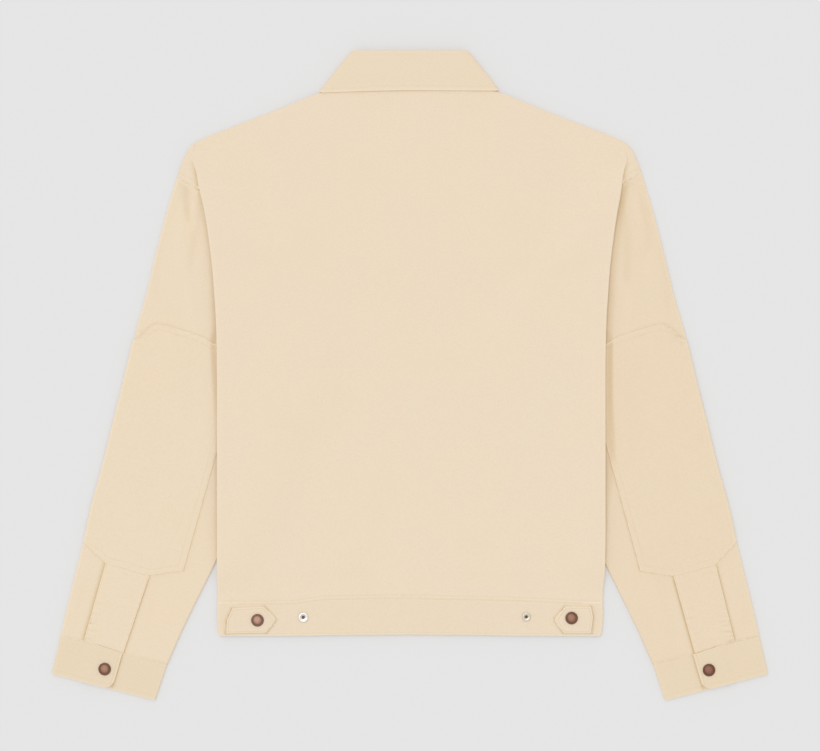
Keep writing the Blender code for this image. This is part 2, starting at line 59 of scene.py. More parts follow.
TUCK_RISE, TUCK_SHARE = 6.3, 0.75   # the fronts' rise over the tucked sleeves, the back's share
TUCK_FADE = (76.0, 16.0)        # the rise starts and ends so far inside the sleeve's edge
NECK_RISE, NECK_SHARE = 2.4, 1.5    # rise of the fronts and of the back over the collar
SNAP_RISE, SNAP_FADE = 0.9, (-48.0, -24.0)      # rise of the fronts over their snaps
LAP_RISE, LAP_FADE = 1.5, (-52.0, -24.0)        # rise of the lap, and where it fades out
BAND_BACK, BAND_LAP = 3.8, 1.9  # underside of the band's back stretch, rise of its lap
EDGE = 1.9                      # radius of a rolled edge
FRONT_LAP = 18.0                # how far each front reaches past the centre
WEDGE_MID = 2.1                 # level between the layers at the shoulder pieces' outside
PATCH_INSET = 1.9               # the sleeve's edge lies so far inside the patch's
PATCH_WIDTH, PLACKET_WIDTH, TAB_WIDTH = 128.0, 50.0, 31.0       # that grids are spaced for
CUFF_DEPTH = 46.0
CUFF_UPPER, CUFF_TUCKED, CUFF_OVER = 3.6, 3.4, 5.7  # levels of its layers
CUFF_LAP = {"left": 0.58, "right": 0.622}           # share of the width where the lap ends
CUFF_UNDERLAP = 0.2             # share of the width that lies under the lap
COLLAR_MID = 4.65               # level round which the collar is folded
FALL_OUT, STAND_OUT, FOLD_OUT = 3.65, 1.25, 2.45    # layers' distances from that level
NECK_BACK = 31.0                # the stand's seam on the centre line

TUCK_ROWS = (
    # down, rise of the fronts at the sides
    (140, 0), (158, 1.4), (167, 3.4), (230, 5.2), (325, TUCK_RISE),
    (615, TUCK_RISE), (650, 0),
)
OUTLINE = (
    # down, across: shoulder tip, then the outer edge of the sleeve
    (109.8, 257.3), (117, 265.4), (124.2, 269.4), (131.4, 272.6), (138.6, 275.5),
    (152.4, 280), (167.4, 284.6), (196.2, 293), (246.6, 305.9), (297, 318),
    (347.4, 332.8), (397.8, 345), (448.2, 357.7), (498.6, 370.1), (549, 383.8),
    (588.6, 392.4), (616.2, 398.9), (666.6, 411.4), (701.4, 419.4),
)
SHOULDER = (
    # across, down: neck point to shoulder tip
    (84, 41.5), (106, 49.8), (115.3, 53), (149, 66.6), (185.4, 81),
    (223.2, 95.4), (241.2, 102.6), (257.3, 109.8),
)
FOLD = (
    # down, across: side fold of the body
    (109.8, 257.3), (132, 261), (143.4, 257.4), (166.2, 253.2), (183, 249),
    (216.6, 243), (271.8, 236.4), (345, 232.2), (400, 231.6), (662, 231.6),
    (676, 232.2), (689.4, 231.3), (698, 230.2), (702.6, 228.6),
)
FOLD_EXTRA = (
    # down, how much further out the right side's fold lies
    (150, 0), (166, 0.8), (180, 2), (240, 2.6), (360, 2.9), (565, 3.1),
    (620, 2.4), (655, 0.3), (702.6, 0),
)
SLEEVE_INNER = (
    # down, across: inner edge of the sleeve, mostly under the body
    (359.4, 135.6), (395.4, 141.6), (449.4, 158.4), (503.4, 180), (558.6, 206.4),
    (621, 236.4), (666.6, 259.2), (700.2, 275.4), (733.8, 291),
)
ARMHOLE_LOWER = (
    # across, down: from the underarm towards the shoulder
    (135.6, 359.4), (150, 323.4), (192, 263.4), (235, 203.4),
)
ARMHOLE_UPPER = {
    # across, down: from the side fold to the outside edge
    "left": ((254.4, 167.4), (261, 162.6), (269.4, 157.8), (280, 152.4)),
    "right": ((256.2, 159.3), (262.4, 155.2), (270, 151.1), (278.1, 146.4)),
}
WAIST_SEAM = (
    # across, down
    (-232, 661.4), (-190, 661.2), (-140, 660.6), (-122, 658), (-102, 655.4),
    (-42, 654.2), (0, 654), (48, 655.2), (102, 656.2), (150, 657.8), (210, 660.8),
    (232, 661.6),
)
HEM = ((0, 700.8), (84, 701.4), (132, 702.2), (232, 702.6))
BACK_NECK = ((0, 33), (84, 41.5))
FRONT_NECK = ((0, 130.9), (14, 130.9), (30, 122.4), (60, 93.4), (84, 41.5))
WEDGE_DEPTH = {"left": 1, "right": 0.86}      # depth of the shoulder pieces, the left one's as 1
WEDGE = (
    # down on the fold, down outside, level of the back: left shoulder piece, outside the fold
    (109.8, 109.8, 5.2), (118, 119, 5.15), (126, 131, 5), (134, 142, 4.6),
    (142, 152, 4.2), (150, 157.5, 4.1), (158, 162.2, 4.1), (166.5, 166.5, 4.1),
)
PATCH_TOP = (
    (204, 353.4), (236.4, 351.7), (248.4, 343.9), (273.6, 335.9), (290, 330.4),
    (301, 328.3), (308, 329), (317.6, 336.6), (325.6, 345), (332.8, 347.4),
)
PATCH_INNER = {"left": ((204, 353.4), (231, 477.8), (272.2, 624)),
               "right": ((204, 353.4), (235.2, 472.2), (276.4, 624.4))}
PATCH_FOOT = {"left": ((272.2, 624), (312.6, 629.8), (366, 614.6), (392.4, 588.6)),
              "right": ((276.4, 624.4), (315.6, 630.6), (367.2, 616.4), (392.4, 588.6))}
PLACKET_INNER = {"left": ((313, 631.2), (343.8, 722.4)),
                 "right": ((316.2, 631.2), (341.4, 722.4))}
PLACKET_OUTER = {"left": ((365.6, 616.4), (390.9, 706.4)),
                 "right": ((367.2, 617.6), (389.2, 706.8))}
CUFF_SEAM = ((419.4, 701.9), (391, 708.2), (345, 723.8), (291, 735.2))
CUFF_EDGE = ((430, 748.2), (306, 780))
FOLD_CORNER, FALL_CORNER = (69.6, 0), (106.2, 47.4)
LEAF_POINT, LEAF_FRONT = (72, 193.8), (14, 119.4)
NECK_SEAM = ((84, 38), (60, 92), (30, 121), (14, 130))
FRONT_SNAPS = (165, 250, 335, 420, 505, 590)
WAIST_SNAPS = {"left": (-182.9, 683.5), "right": (193.8, 680.9)}
SPARE_STUDS = {"left": (-128, 680.2), "right": (139.6, 679.7)}
CUFF_SNAPS = {"left": (-366.2, 742.1), "right": (358.6, 743.3)}
TABS = {
    # across, down: base, shoulder, point, shoulder, base, and the middle of the base
    "left": ((-213, 669), (-175.2, 667), (-161.6, 682.6), (-172.6, 699), (-220.6, 700),
             (-219.6, 684)),
    "right": ((217.3, 667.2), (186.5, 666.8), (174, 683), (184.6, 699.8), (217.2, 699.6),
              (219.6, 680)),
}
TIP_DOWN, TIP_ACROSS = OUTLINE[0]
WEDGE_FADE, WEDGE_END = 158.0, 166.5    # the shoulder pieces' last rows
FOOT_DOWN = 661.0                       # down to the waist seam, on the side folds
BAND_DOWN, BAND_DEPTH = 662.0, 40.0     # the waistband's reach down the side folds
SIDES = (("left", -1), ("right", 1))
SIGN = dict(SIDES)

# Fine grid lines: distances from an edge, and the spacing further in.
NEAR_EDGE = (0.0, 0.3, 0.7, 1.15, 1.6, 2.1, 2.8, 3.8, 5.0, 6.0, 6.6, 7.0, 7.5, 8.3, 10.0)
NEAR_ROLL = (0.0, 0.05, 0.2, 0.5, 0.9, 1.4, 1.9, 2.4, 3.4)
SPACING = 3.2
STITCH_ROWS = (1.6, 7.0)        # distances of the stitch rows from a sewn edge
BAND_STITCHES = (3.4, 2.4)      # the same from the waist seam and from the hem
LAP_STITCHES = 3.0              # the same from the end of a cuff's lap
UNDER = 2.4             # how far a piece reaches under the one sewn over it


# Curves and distances.

def smooth(value, low, high):
    """0 up to low and 1 from high, with a smooth step between."""
    share = np.clip((value - low) / (high - low), 0.0, 1.0)
    return share * share * (3.0 - 2.0 * share)


def bell(distance, width):
    """1 at no distance, and close to 0 from two widths on."""
    return np.exp(-(distance / width) ** 2)


def read(table, value):
    """The second column of a table at values of its first, along a smooth monotone curve."""
    x, y = np.asarray(table, float).T[:2]
    step = np.diff(x)
    rate = np.diff(y) / step
    slope = np.concatenate((rate[:1], np.zeros(len(rate) - 1), rate[-1:]))
    same = rate[:-1] * rate[1:] > 0
    slope[1:-1][same] = 2 * (rate[:-1] * rate[1:])[same] / (rate[:-1] + rate[1:])[same]
    value = np.clip(value, x[0], x[-1])
    k = np.clip(np.searchsorted(x, value, side="right") - 1, 0, len(step) - 1)
    t = (value - x[k]) / step[k]
    return (y[k] * (1 + 2 * t) * (1 - t) ** 2 + y[k + 1] * t * t * (3 - 2 * t)
            + step[k] * (slope[k] * t * (1 - t) ** 2 - slope[k + 1] * t * t * (1 - t)))


def straight(table, value):
    """As read, with straight lines between the rows."""
    x, y = np.asarray(table, float).T[:2]
    return np.interp(value, x, y)


def along(points, share):
    """Places at shares of the length of a line through points."""
    points = np.asarray(points, float)
    steps = np.concatenate(([0.0], np.cumsum(np.hypot(*np.diff(points, axis=0).T))))
    place = np.asarray(share, float) * steps[-1]
    return np.stack([np.interp(place, steps, points[:, k]) for k in (0, 1)], axis=-1)


def coons(edges, s, t):
    """Places on the surface between four edges; s runs inner to outer, t top to foot."""
    top, foot, inner, outer = edges
    s, t = np.asarray(s, float), np.asarray(t, float)
    u, v = s[None, :, None], t[:, None, None]
    across = (1 - v) * along(top, s)[None] + v * along(foot, s)[None]
    downward = (1 - u) * along(inner, t)[:, None] + u * along(outer, t)[:, None]
    ends = along(top, (0.0, 1.0)), along(foot, (0.0, 1.0))
    corners = ((1 - u) * (1 - v) * ends[0][0] + u * (1 - v) * ends[0][1]
               + (1 - u) * v * ends[1][0] + u * v * ends[1][1])
    return across + downward - corners


def mirrored(line, sign):
    return [(sign * x, d) for x, d in line]


def right_across(half):
    """A line on both sides of the centre, from its right half."""
    return mirrored(half[:0:-1], -1) + list(half)


def length_of(points):
    return float(np.hypot(*np.diff(np.asarray(points, float), axis=0).T).sum())


def near(line, x, d):
    """Distance of places from a line through points, and how far along the line it is."""
    line = np.asarray(line, float)
    best = np.full(np.shape(x), 1e9)
    run = np.zeros(np.shape(x))
    start = 0.0
    for a, b in zip(line, line[1:]):
        span = b - a
        size = math.hypot(*span)
        share = np.clip(((x - a[0]) * span[0] + (d - a[1]) * span[1]) / size ** 2, 0.0, 1.0)
        gap = np.hypot(x - a[0] - span[0] * share, d - a[1] - span[1] * share)
        closer = gap < best
        best = np.where(closer, gap, best)
        run = np.where(closer, start + share * size, run)
        start += size
    return best, run


def lines_between(size, first=NEAR_EDGE, last=NEAR_EDGE, spacing=SPACING):
    """Distances of grid lines across a size, fine near both ends."""
    inner, outer = first[-1], size - last[-1]
    middle = np.linspace(inner, outer, max(2, int(round((outer - inner) / spacing)) + 1))
    return np.concatenate((first[:-1], middle, [size - gap for gap in reversed(last[:-1])]))


FALL_MIDDLE = 47.5      # the fall's edge on the centre line
FALL_CORNERS = {"left": (108.6, 50.3), "right": (106.8, 48.0)}
WAIST_LINE, HEM_LINE = list(WAIST_SEAM), right_across(HEM)
COLLAR_LINE = [(sign * FALL_CORNERS[side][0] * share,
                FALL_MIDDLE + (FALL_CORNERS[side][1] - FALL_MIDDLE) * share ** 1.5)
               for side, sign, shares in (("left", -1, (1.0, 0.75, 0.5, 0.25, 0.0)),
                                          ("right", 1, (0.25, 0.5, 0.75, 1.0)))
               for share in shares]


def fold_at(d, x):
    """How far out the body's side fold lies, on the side of x."""
    return read(FOLD, d) + np.where(np.asarray(x) > 0, read(FOLD_EXTRA, d), 0.0)


# Relief.

def rolled(gap):
    """Share of the way down a rolled edge at a distance inward from it."""
    share = np.clip(1.0 - np.asarray(gap, float) / EDGE, 0.0, 1.0)
    return 1.0 - np.sqrt(np.maximum(0.0, 1.0 - share * share))


def sewn(gap, rows=STITCH_ROWS, round_off=0.4, pinch=0.15):
    """Relief of a sewn edge: rounded off, pinched at the stitches, puffed between the rows."""
    share = np.clip(1.0 - gap, 0.0, 1.0)
    relief = -round_off * (1.0 - np.sqrt(1.0 - share * share))
    for row in rows:
        relief = relief - pinch * bell(gap - row, 0.6)
    if len(rows) == 2:
        middle, half = (rows[0] + rows[1]) / 2, (rows[1] - rows[0]) / 2
        relief = relief + 0.1 * bell(gap - middle, 0.75 * half)
    return relief


def sewn_wear_and_painted_light(gap, rows=STITCH_ROWS, rim=0.9, dip=0.5):
    """Painted light of a sewn edge: a pale rim along it, partly rubbed and partly a painted
    highlight, painted shade in the stitch rows and a painted highlight beside each.
    """
    wear_and_painted_light = rim * bell(gap, 1.3)
    for row in rows:
        wear_and_painted_light = wear_and_painted_light - dip * bell(gap - row, 0.6)
        wear_and_painted_light = wear_and_painted_light + 0.8 * dip * bell(gap - row - 1.3, 0.7)
    return wear_and_painted_light


def rubbed_and_highlit(gap, width=1.8, strength=1.2):
    """Pale rolled outer edge: partly rubbed wear, partly a painted highlight."""
    return strength * bell(gap, width)


def shaded(gap, width, strength):
    """Painted shade beside an edge that lies over the cloth."""
    return -strength * bell(gap, width)


def shade_beside(x, d, *rows):
    """Painted shade beside lines that lie over the cloth: a line, a half width and a strength each.
    """
    return sum(shaded(near(line, x, d)[0], width, strength) for line, width, strength in rows)


def pucker(gap, run, height, wave, reach, seed):
    """Short uneven wrinkles that run out from a seam."""
    rng = np.random.default_rng(seed)
    shape = 0.0
    for share in (1.0, 0.73, 0.55, 1.6):
        turn = rng.uniform(0.0, 2 * math.pi)
        lean = rng.uniform(-0.35, 0.35)
        shape = shape + np.sin(2 * math.pi * (run + lean * gap) / (wave * share) + turn)
    loud = 0.55 + 0.45 * np.sin(run / (wave * 2.7) + rng.uniform(0.0, 6.0))
    return height * 0.4 * shape * loud * np.exp(-(gap / reach) ** 1.3)


def pressed_in(place, x, d, depth, width):
    """Dip that a snap or stud presses into the cloth round it."""
    return depth * bell(np.hypot(x - place[0], d - place[1]), width)


def creased(table, x, d):
    """Soft troughs (height below 0) and ridges, a row for each."""
    relief = np.zeros(np.shape(x))
    for x0, d0, x1, d1, width, height in table:
        size = math.hypot(x1 - x0, d1 - d0)
        share = ((x - x0) * (x1 - x0) + (d - d0) * (d1 - d0)) / size ** 2
        bow = 0.05 * size * np.sin(math.pi * np.clip(share, 0.0, 1.0))
        off = ((x - x0) * (d1 - d0) - (d - d0) * (x1 - x0)) / size - bow
        fade = smooth(share, -0.12, 0.28) * smooth(-share, -1.12, -0.72)
        relief += height * fade * bell(off, width)
    return relief


def ripple(x, d, size, height, seed):
    """Broad slow unevenness of cloth that lies flat."""
    rng = np.random.default_rng(seed)
    relief = np.zeros(np.shape(x))
    for _ in range(7):
        angle = rng.uniform(0.0, math.pi)
        wave = size * rng.uniform(0.6, 1.7)
        shift = rng.uniform(0.0, 2 * math.pi)
        relief += np.sin((x * math.cos(angle) + d * math.sin(angle)) * 2 * math.pi / wave + shift)
    return relief * height / 7 ** 0.5


# Heights of the layers.

def sleeve_start(d):
    """Where the sleeve's inner edge lies under the body."""
    line = sorted((down, across) for across, down in ARMHOLE_LOWER + ARMHOLE_UPPER["left"])
    return np.where(d > SLEEVE_INNER[0][0], straight(SLEEVE_INNER, d), straight(line, d))


def tuck(x, d):
    """How far the tucked sleeve lifts the body."""
    start, end = (sleeve_start(d) - gap for gap in TUCK_FADE)
    return read(TUCK_ROWS, d) * smooth(np.abs(x), start, end)


def neck(x, d, reach):
    """1 under the collar, and 0 from a little outside its reach on."""
    return (smooth(-d, -238.0 - 2 * reach, -206.0 - reach)
            * smooth(-np.abs(x), -142.0 - reach, -112.0 - reach))


def back_height(x, d):
    return BACK_TOP + np.maximum(TUCK_SHARE * tuck(x, d), NECK_SHARE * neck(x, d, 36.0))


def front_height(x, d, sign):
    low = np.maximum(tuck(x, d), NECK_RISE * neck(x, d, 14.0))
    low = np.maximum(low, SNAP_RISE * smooth(-np.abs(x), *SNAP_FADE))
    return low + LAP_RISE * smooth(-x, *LAP_FADE) if sign > 0 else low


def sleeve_height(d):
    return CAP_TOP + (SLEEVE_TOP - CAP_TOP) * smooth(d, 165.0, 235.0)


def seam_level(x, d, facing):
    """Level at which the back and a front meet at the sides."""
    middle = (back_height(x, d) + front_height(x, d, -1)) / 2
    return middle + facing * SEAM / 2


# Meshes.

def world(points):
    """Scene coordinates of points (across, down, height)."""
    points = np.asarray(points, float)
    return np.stack((points[..., 0] * MM, (LENGTH / 2 - points[..., 1]) * MM,
                     points[..., 2] * MM), axis=-1)


def new_object(name, mesh):
    piece = bpy.data.objects.new(name, mesh)
    bpy.context.scene.collection.objects.link(piece)
    return piece


def mesh_piece(name, points, faces, finish, wear_and_painted_light=None):
    """A smooth mesh; its painted light runs from -1, painted shade beside seams, folds and creases,
    to 1, a pale rim that is partly rubbed and partly a painted highlight.
    """
    mesh = bpy.data.meshes.new(name)
    mesh.from_pydata(world(points).tolist(), [], faces)
    mesh.materials.append(finish)
    mesh.shade_smooth()
    if wear_and_painted_light is not None:
        layer = mesh.attributes.new("wear_and_painted_light", "FLOAT", "POINT")
        layer.data.foreach_set("value", np.asarray(wear_and_painted_light, float).ravel())
    return new_object(name, mesh)


def grid_faces(rows, columns, flip=False):
    a = (np.arange(rows - 1)[:, None] * columns + np.arange(columns - 1)[None, :]).ravel()
    quads = np.stack((a, a + columns, a + columns + 1, a + 1), axis=1)
    return (quads[:, ::-1] if flip else quads).tolist()


def thicken(piece, thickness, offset=-1.0, round_off=0.3):
    wall = piece.modifiers.new("wall", "SOLIDIFY")
    wall.thickness = thickness * MM
    wall.offset = offset
    if round_off:
        rim = piece.modifiers.new("rim", "BEVEL")
        rim.width = round_off * MM
        rim.segments = 2
        rim.limit_method = "ANGLE"
        rim.angle_limit = math.radians(55)
    return piece


dressed = {}            # the visible piece that stands for each CAD node


def declare(piece, node):
    """Say which node a sheet of cloth stands for: hang it on the root, hide the node and keep the
    piece for it.
    """
    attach(piece, "root")
    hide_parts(node)
    dressed[node] = piece


def cloth_grid(node, x, d, height, finish, thickness, flip=False,
               offset=-1.0, round_off=0.3, wear_and_painted_light=None):
    """The piece of cloth that stands for a node, from a grid of its outer surface."""
    points = np.stack((x, d, height), axis=-1)
    faces = grid_faces(*height.shape, flip)
    piece = mesh_piece(f"{node}_cloth", points.reshape(-1, 3), faces, finish, wear_and_painted_light)
    thicken(piece, thickness, offset, round_off)
    declare(piece, node)


# Creases: across, down, across, down, half width, height.

BACK_CREASES = (
    (20, 612, 37, 585, 3, -0.16), (122, 474, 134, 503, 3.2, -0.10),
    (-236, 190, -176, 232, 9, 0.16), (-232, 236, -150, 262, 11, -0.14),
    (238, 186, 170, 238, 10, 0.18), (230, 240, 160, 270, 9, -0.14),
    (-70, 72, -20, 61, 9, -0.12), (24, 60, 84, 74, 10, -0.14),
    (-226, 380, -206, 470, 7, 0.14), (225, 350, 207, 450, 8, 0.15),
    (-214, 500, -220, 600, 7, 0.13), (214, 480, 219, 585, 7, 0.12),
    (-150, 640, -40, 630, 8, -0.09), (40, 634, 166, 642, 8, -0.09),
)
FRONT_CREASES = (
    (-226, 200, -150, 250, 9, 0.20), (-220, 262, -120, 300, 10, 0.16),
    (-60, 300, -150, 380, 9, 0.12), (-200, 470, -90, 520, 10, 0.14),
    (-120, 620, -50, 560, 8, 0.12), (224, 196, 156, 246, 9, 0.20),
    (214, 258, 128, 306, 10, 0.16), (72, 300, 140, 360, 9, 0.12),
    (190, 460, 100, 530, 10, 0.14), (140, 626, 66, 566, 8, 0.12),
)
SLEEVE_CREASES = {
    "left": (
        (268.8, 158, 265, 206, 4.5, -0.35), (258, 172, 257, 220, 4, 0.16),
        (250, 176, 259, 320, 5, -0.16), (268, 170, 280, 262, 4.5, 0.14),
        (258, 250, 262, 345, 6, 0.16), (292, 206, 306, 300, 5, -0.10),
        (255, 345, 268, 450, 6, -0.15), (286, 352, 300, 430, 7, 0.10),
        (300, 450, 318, 545, 7, -0.10), (322, 470, 345, 590, 6, 0.10),
        (262, 560, 300, 672, 5, 0.15), (282, 590, 318, 706, 5, -0.16),
        (376, 610, 402, 700, 4.5, -0.14), (250, 470, 262, 540, 5, 0.12),
    ),
    "right": (
        (266.4, 164, 270, 204, 2.6, 0.30), (275, 170, 284, 256, 5, -0.24),
        (252, 172, 256, 300, 5, -0.18), (270, 172, 286, 285, 5, 0.15),
        (254, 268, 258, 350, 6, 0.15), (296, 226, 310, 320, 5, -0.11),
        (252, 352, 262, 462, 6, -0.15), (292, 356, 306, 446, 7, 0.11),
        (304, 460, 322, 560, 7, -0.10), (330, 480, 350, 590, 6, 0.10),
        (258, 570, 300, 690, 5, 0.16), (280, 600, 314, 712, 5, -0.15),
        (380, 612, 404, 696, 4.5, -0.14), (246, 480, 262, 556, 5, 0.12),
    ),
}


# Body.

def with_front_edge(across, first, last, count):
    """Grid columns of a panel whose straight front edge is its first or last; None is a fold."""
    if first is None and last is None:
        return across
    edge, inward = (first, 1.0) if last is None else (last, -1.0)
    kept = across[:, (inward * (across - edge) > 3.0).all(axis=0)]
    added = np.repeat([edge + inward * np.array(NEAR_EDGE[:count])], len(across), axis=0)
    return np.hstack((added, kept) if last is None else (kept, added[:, ::-1]))


def between_folds(columns, reach):
    """Rows from side fold to side fold; columns are given on a row as wide as the shoulders."""
    inward = TIP_ACROSS - np.abs(columns)
    return np.where(inward <= NEAR_ROLL[-1], np.sign(columns) * (reach - inward),
                    columns * reach / TIP_ACROSS)


def body_places(neck_line, first, last):
    """Grid of a body panel: places, shares of the shoulder's and the sides' roll, and rows."""
    size = FOOT_DOWN - TIP_DOWN
    values = TIP_DOWN + lines_between(size, NEAR_ROLL)
    half = TIP_ACROSS - lines_between(TIP_ACROSS, NEAR_ROLL, (0.0, SPACING))[:-1]
    half = np.append(half, 0.0)[::-1]
    columns = np.concatenate((-half[:0:-1], half))
    rows = values[:, None]
    across = between_folds(columns, fold_at(rows, columns))
    across = with_front_edge(across, first, last, 4)
    reach = fold_at(rows, across)
    at_tip = np.abs(across * TIP_ACROSS / reach)
    shoulder = at_tip >= SHOULDER[0][0]
    top = np.where(shoulder, straight(SHOULDER, at_tip), read(neck_line, at_tip))
    foot = read(WAIST_SEAM, across) + UNDER / 2
    from_top = rows - TIP_DOWN
    down = top + (foot - top) * from_top / size
    down = np.where((from_top <= NEAR_ROLL[-1]) & shoulder, top + from_top, down)
    top_drop = np.where(shoulder, rolled(from_top), 0.0)
    return across, down, top_drop, rolled(reach - np.abs(across)), values


def as_on_left(values, sign):
    """Rows of the left shoulder piece that match rows of a side's."""
    depth = np.where(np.asarray(sign) > 0, WEDGE_DEPTH["right"], WEDGE_DEPTH["left"])
    return TIP_DOWN + (values - TIP_DOWN) / depth


def wedge_places(values, sign, edge):
    """Rows of the shoulder piece outside the fold: places, distance from the outer edge."""
    side = "right" if sign > 0 else "left"
    down_out = np.interp(as_on_left(values, sign), *np.array(WEDGE).T[:2])
    down_out = TIP_DOWN + (down_out - TIP_DOWN) * WEDGE_DEPTH[side]
    line = sorted((down, across) for across, down in ARMHOLE_UPPER[side])
    out = np.where(down_out <= line[0][0], straight(OUTLINE, down_out), straight(line, down_out))
    out = np.stack((out, down_out), axis=1)
    corner = edge[:, :2] * (sign, 1)
    size = np.hypot(*(out - corner).T)
    steps = np.concatenate(((0.0, 0.15, 0.5, 1.1, 1.7, 2.4), np.arange(3.6, 25.0, 1.4)))
    gaps = np.minimum(steps, size[:, None] * np.arange(len(steps)) / len(steps))
    share = 1.0 - gaps / np.maximum(size, 0.001)[:, None]
    places = corner[:, None] + (out - corner)[:, None] * share[..., None]
    places[..., 0] *= sign
    return places[:, ::-1], gaps[:, ::-1]


def shoulder_piece(values, sign, edge, facing, relief):
    """Points of the shoulder piece outside the fold, from the fold's edge outward."""
    places, gaps = wedge_places(values, sign, edge)
    down_left = as_on_left(values, sign)[:, None]
    from_tip = smooth(down_left, TIP_DOWN, 122.0)
    sewn_edge = smooth(down_left, 143.0, 149.0)
    middle = BACK_TOP / 2 + (WEDGE_MID - BACK_TOP / 2) * from_tip
    middle = middle + facing * SEAM * (1 + from_tip) / 2
    drop = rolled(gaps) * (1 - sewn_edge)
    height = edge[:, 2:3] + (middle - edge[:, 2:3]) * drop
    height = height + relief(places[..., 0], places[..., 1]) * (1 - drop)
    height = height - facing * 0.2 * rolled(2 * gaps) * sewn_edge
    height[:, 0] = edge[:, 2]
    return np.concatenate((places, height[..., None]), axis=-1)


def body_panel(node, neck_line, first, last, surface, facing, relief, finish, rests_on=(),
               wear_and_painted_light=None):
    """Back or front panel, with its rolled sides and the shoulder pieces outside them.

    Facing is 1 for the back and -1 for a front, whose outer surface lies below.
    """
    across, down, top_drop, side_drop, values = body_places(neck_line, first, last)
    seam = seam_level(across, down, facing)
    rows_left = as_on_left(values[:, None], np.sign(across))
    lay = smooth(-rows_left, -WEDGE_END, -WEDGE_FADE)
    piece_level = np.interp(rows_left, *np.array(WEDGE).T[::2]) if facing > 0 else 0.0
    target = piece_level + (seam - piece_level) * top_drop
    target = seam * (1 - lay) + target * lay
    level = surface(across, down)
    height = level + (seam - level) * top_drop
    height += (target - height) * side_drop
    height += relief(across, down) * (1 - np.maximum(top_drop, side_drop))
    points = np.stack((across, down, height), axis=-1)
    places = [points.reshape(-1, 3)]
    columns = height.shape[1]
    flip = facing < 0
    faces = grid_faces(*height.shape, flip)
    for sign, column in [(-1, 0)] * (first is None) + [(1, columns - 1)] * (last is None):
        use = np.flatnonzero((values > TIP_DOWN + 0.01) & (as_on_left(values, sign) < WEDGE_END))
        added = shoulder_piece(values[use], sign, points[use, column], facing, relief)[:, 1:]
        index = sum(map(len, places)) + np.arange(added[..., 0].size).reshape(len(use), -1)
        index = np.hstack((use[:, None] * columns + column, index))
        quads = (index[:-1, :-1], index[1:, :-1], index[1:, 1:], index[:-1, 1:])
        extra = np.stack(quads, axis=-1).reshape(-1, 4).tolist()
        for row, tip, way in ((index[0], use[0] - 1, 1), (index[-1], use[-1] + 1, -1)):
            tip = int(tip * columns + column)
            extra += [[tip, *pair[::way]] for pair in zip(row.tolist(), row[1:].tolist())]
        faces += [face[::-1] for face in extra] if flip != (sign < 0) else extra
        places.append(added.reshape(-1, 3))
    places = np.concatenate(places)
    worn_and_lit = wear_and_painted_light(places[:, 0], places[:, 1]) if wear_and_painted_light else None
    piece = mesh_piece(f"{node}_cloth", places, faces, finish, worn_and_lit)
    thicken(piece, CLOTH, round_off=0.0)
    declare(piece, node)


def body_relief(x, d):
    """Relief of the back: the sewn waist seam, soft creases and slow unevenness."""
    gap, run = near(WAIST_LINE, x, d)
    relief = pucker(gap, run, 0.22, 13.0, 9.0, 5) + creased(BACK_CREASES, x, d)
    relief -= 0.15 * bell(gap, 1.3)
    inward = fold_at(d, x) - np.abs(x)
    beside_fold = np.where(inward > 0, 0.8 * smooth(-d, -240.0, -165.0), -0.5)
    relief += beside_fold * smooth(d, 128.0, 146.0) * bell(inward, 6.0)
    relief += ripple(x, d, 150.0, 0.16, 11) + ripple(x, d, 46.0, 0.035, 12)
    for side, sign in SIDES:
        gap, run = near(mirrored(ARMHOLE_UPPER[side], sign), x, d)
        relief += pucker(gap, run, 0.9, 8.0, 9.0, 21 + sign) - 0.08 * bell(gap, 0.8)
    return relief


def body_wear_and_painted_light(x, d):
    # Painted light of the back: painted shade beside the waist seam, the collar's edge and outside
    # the side folds, painted light and shade of the creases and of the armhole seam and its
    # wrinkles, and a pale fold edge, partly rubbed and partly a painted highlight.
    wear_and_painted_light = shade_beside(x, d, (WAIST_LINE, 1.6, 0.15), (COLLAR_LINE, 2.2, 0.3))
    wear_and_painted_light += 0.3 * creased(BACK_CREASES, x, d)
    for side, sign in SIDES:
        gap, run = near(mirrored(ARMHOLE_UPPER[side], sign), x, d)
        wear_and_painted_light += (0.6 + 0.4 * np.sin(0.9 * run)) * sewn_wear_and_painted_light(gap, dip=0.3)
        wear_and_painted_light += pucker(gap, run - 0.8 * gap, 0.5, 7.0, 9.0, 24) * (np.abs(x) > 252.0)
    outside = np.abs(x) - fold_at(d, x)
    fold = np.where(outside > 0, shaded(outside, 3.5, 0.9), rubbed_and_highlit(outside, 2.2, 0.6))
    return wear_and_painted_light + fold * smooth(d, 128.0, 150.0)


def front_relief(x, d):
    """Relief of the fronts, inward from the surface that they lie on."""
    gap, run = near(WAIST_LINE, x, d)
    relief = np.abs(pucker(gap, run, 0.10, 13.0, 11.0, 8))
    return relief + creased(FRONT_CREASES, x, d) + 0.06 + ripple(x, d, 60.0, 0.03, 14)


# Waistband.

def band_places(first, last):
    """Grid of a stretch of waistband; None is a rolled side."""
    width = read(HEM, 0.0) - read(WAIST_SEAM, 0.0)
    shares = (lines_between(width, NEAR_EDGE[:10], NEAR_EDGE[:10]) / width)[:, None]
    columns = lines_between(2 * TIP_ACROSS, NEAR_ROLL, NEAR_ROLL) - TIP_ACROSS
    reach = read(FOLD, BAND_DOWN + shares * BAND_DEPTH)
    across = with_front_edge(between_folds(columns, reach), first, last, 5)
    top = read(WAIST_SEAM, across) + SEAM
    down = top + (read(HEM, np.abs(across)) - top) * shares
    return across, down, rolled(reach - np.abs(across))


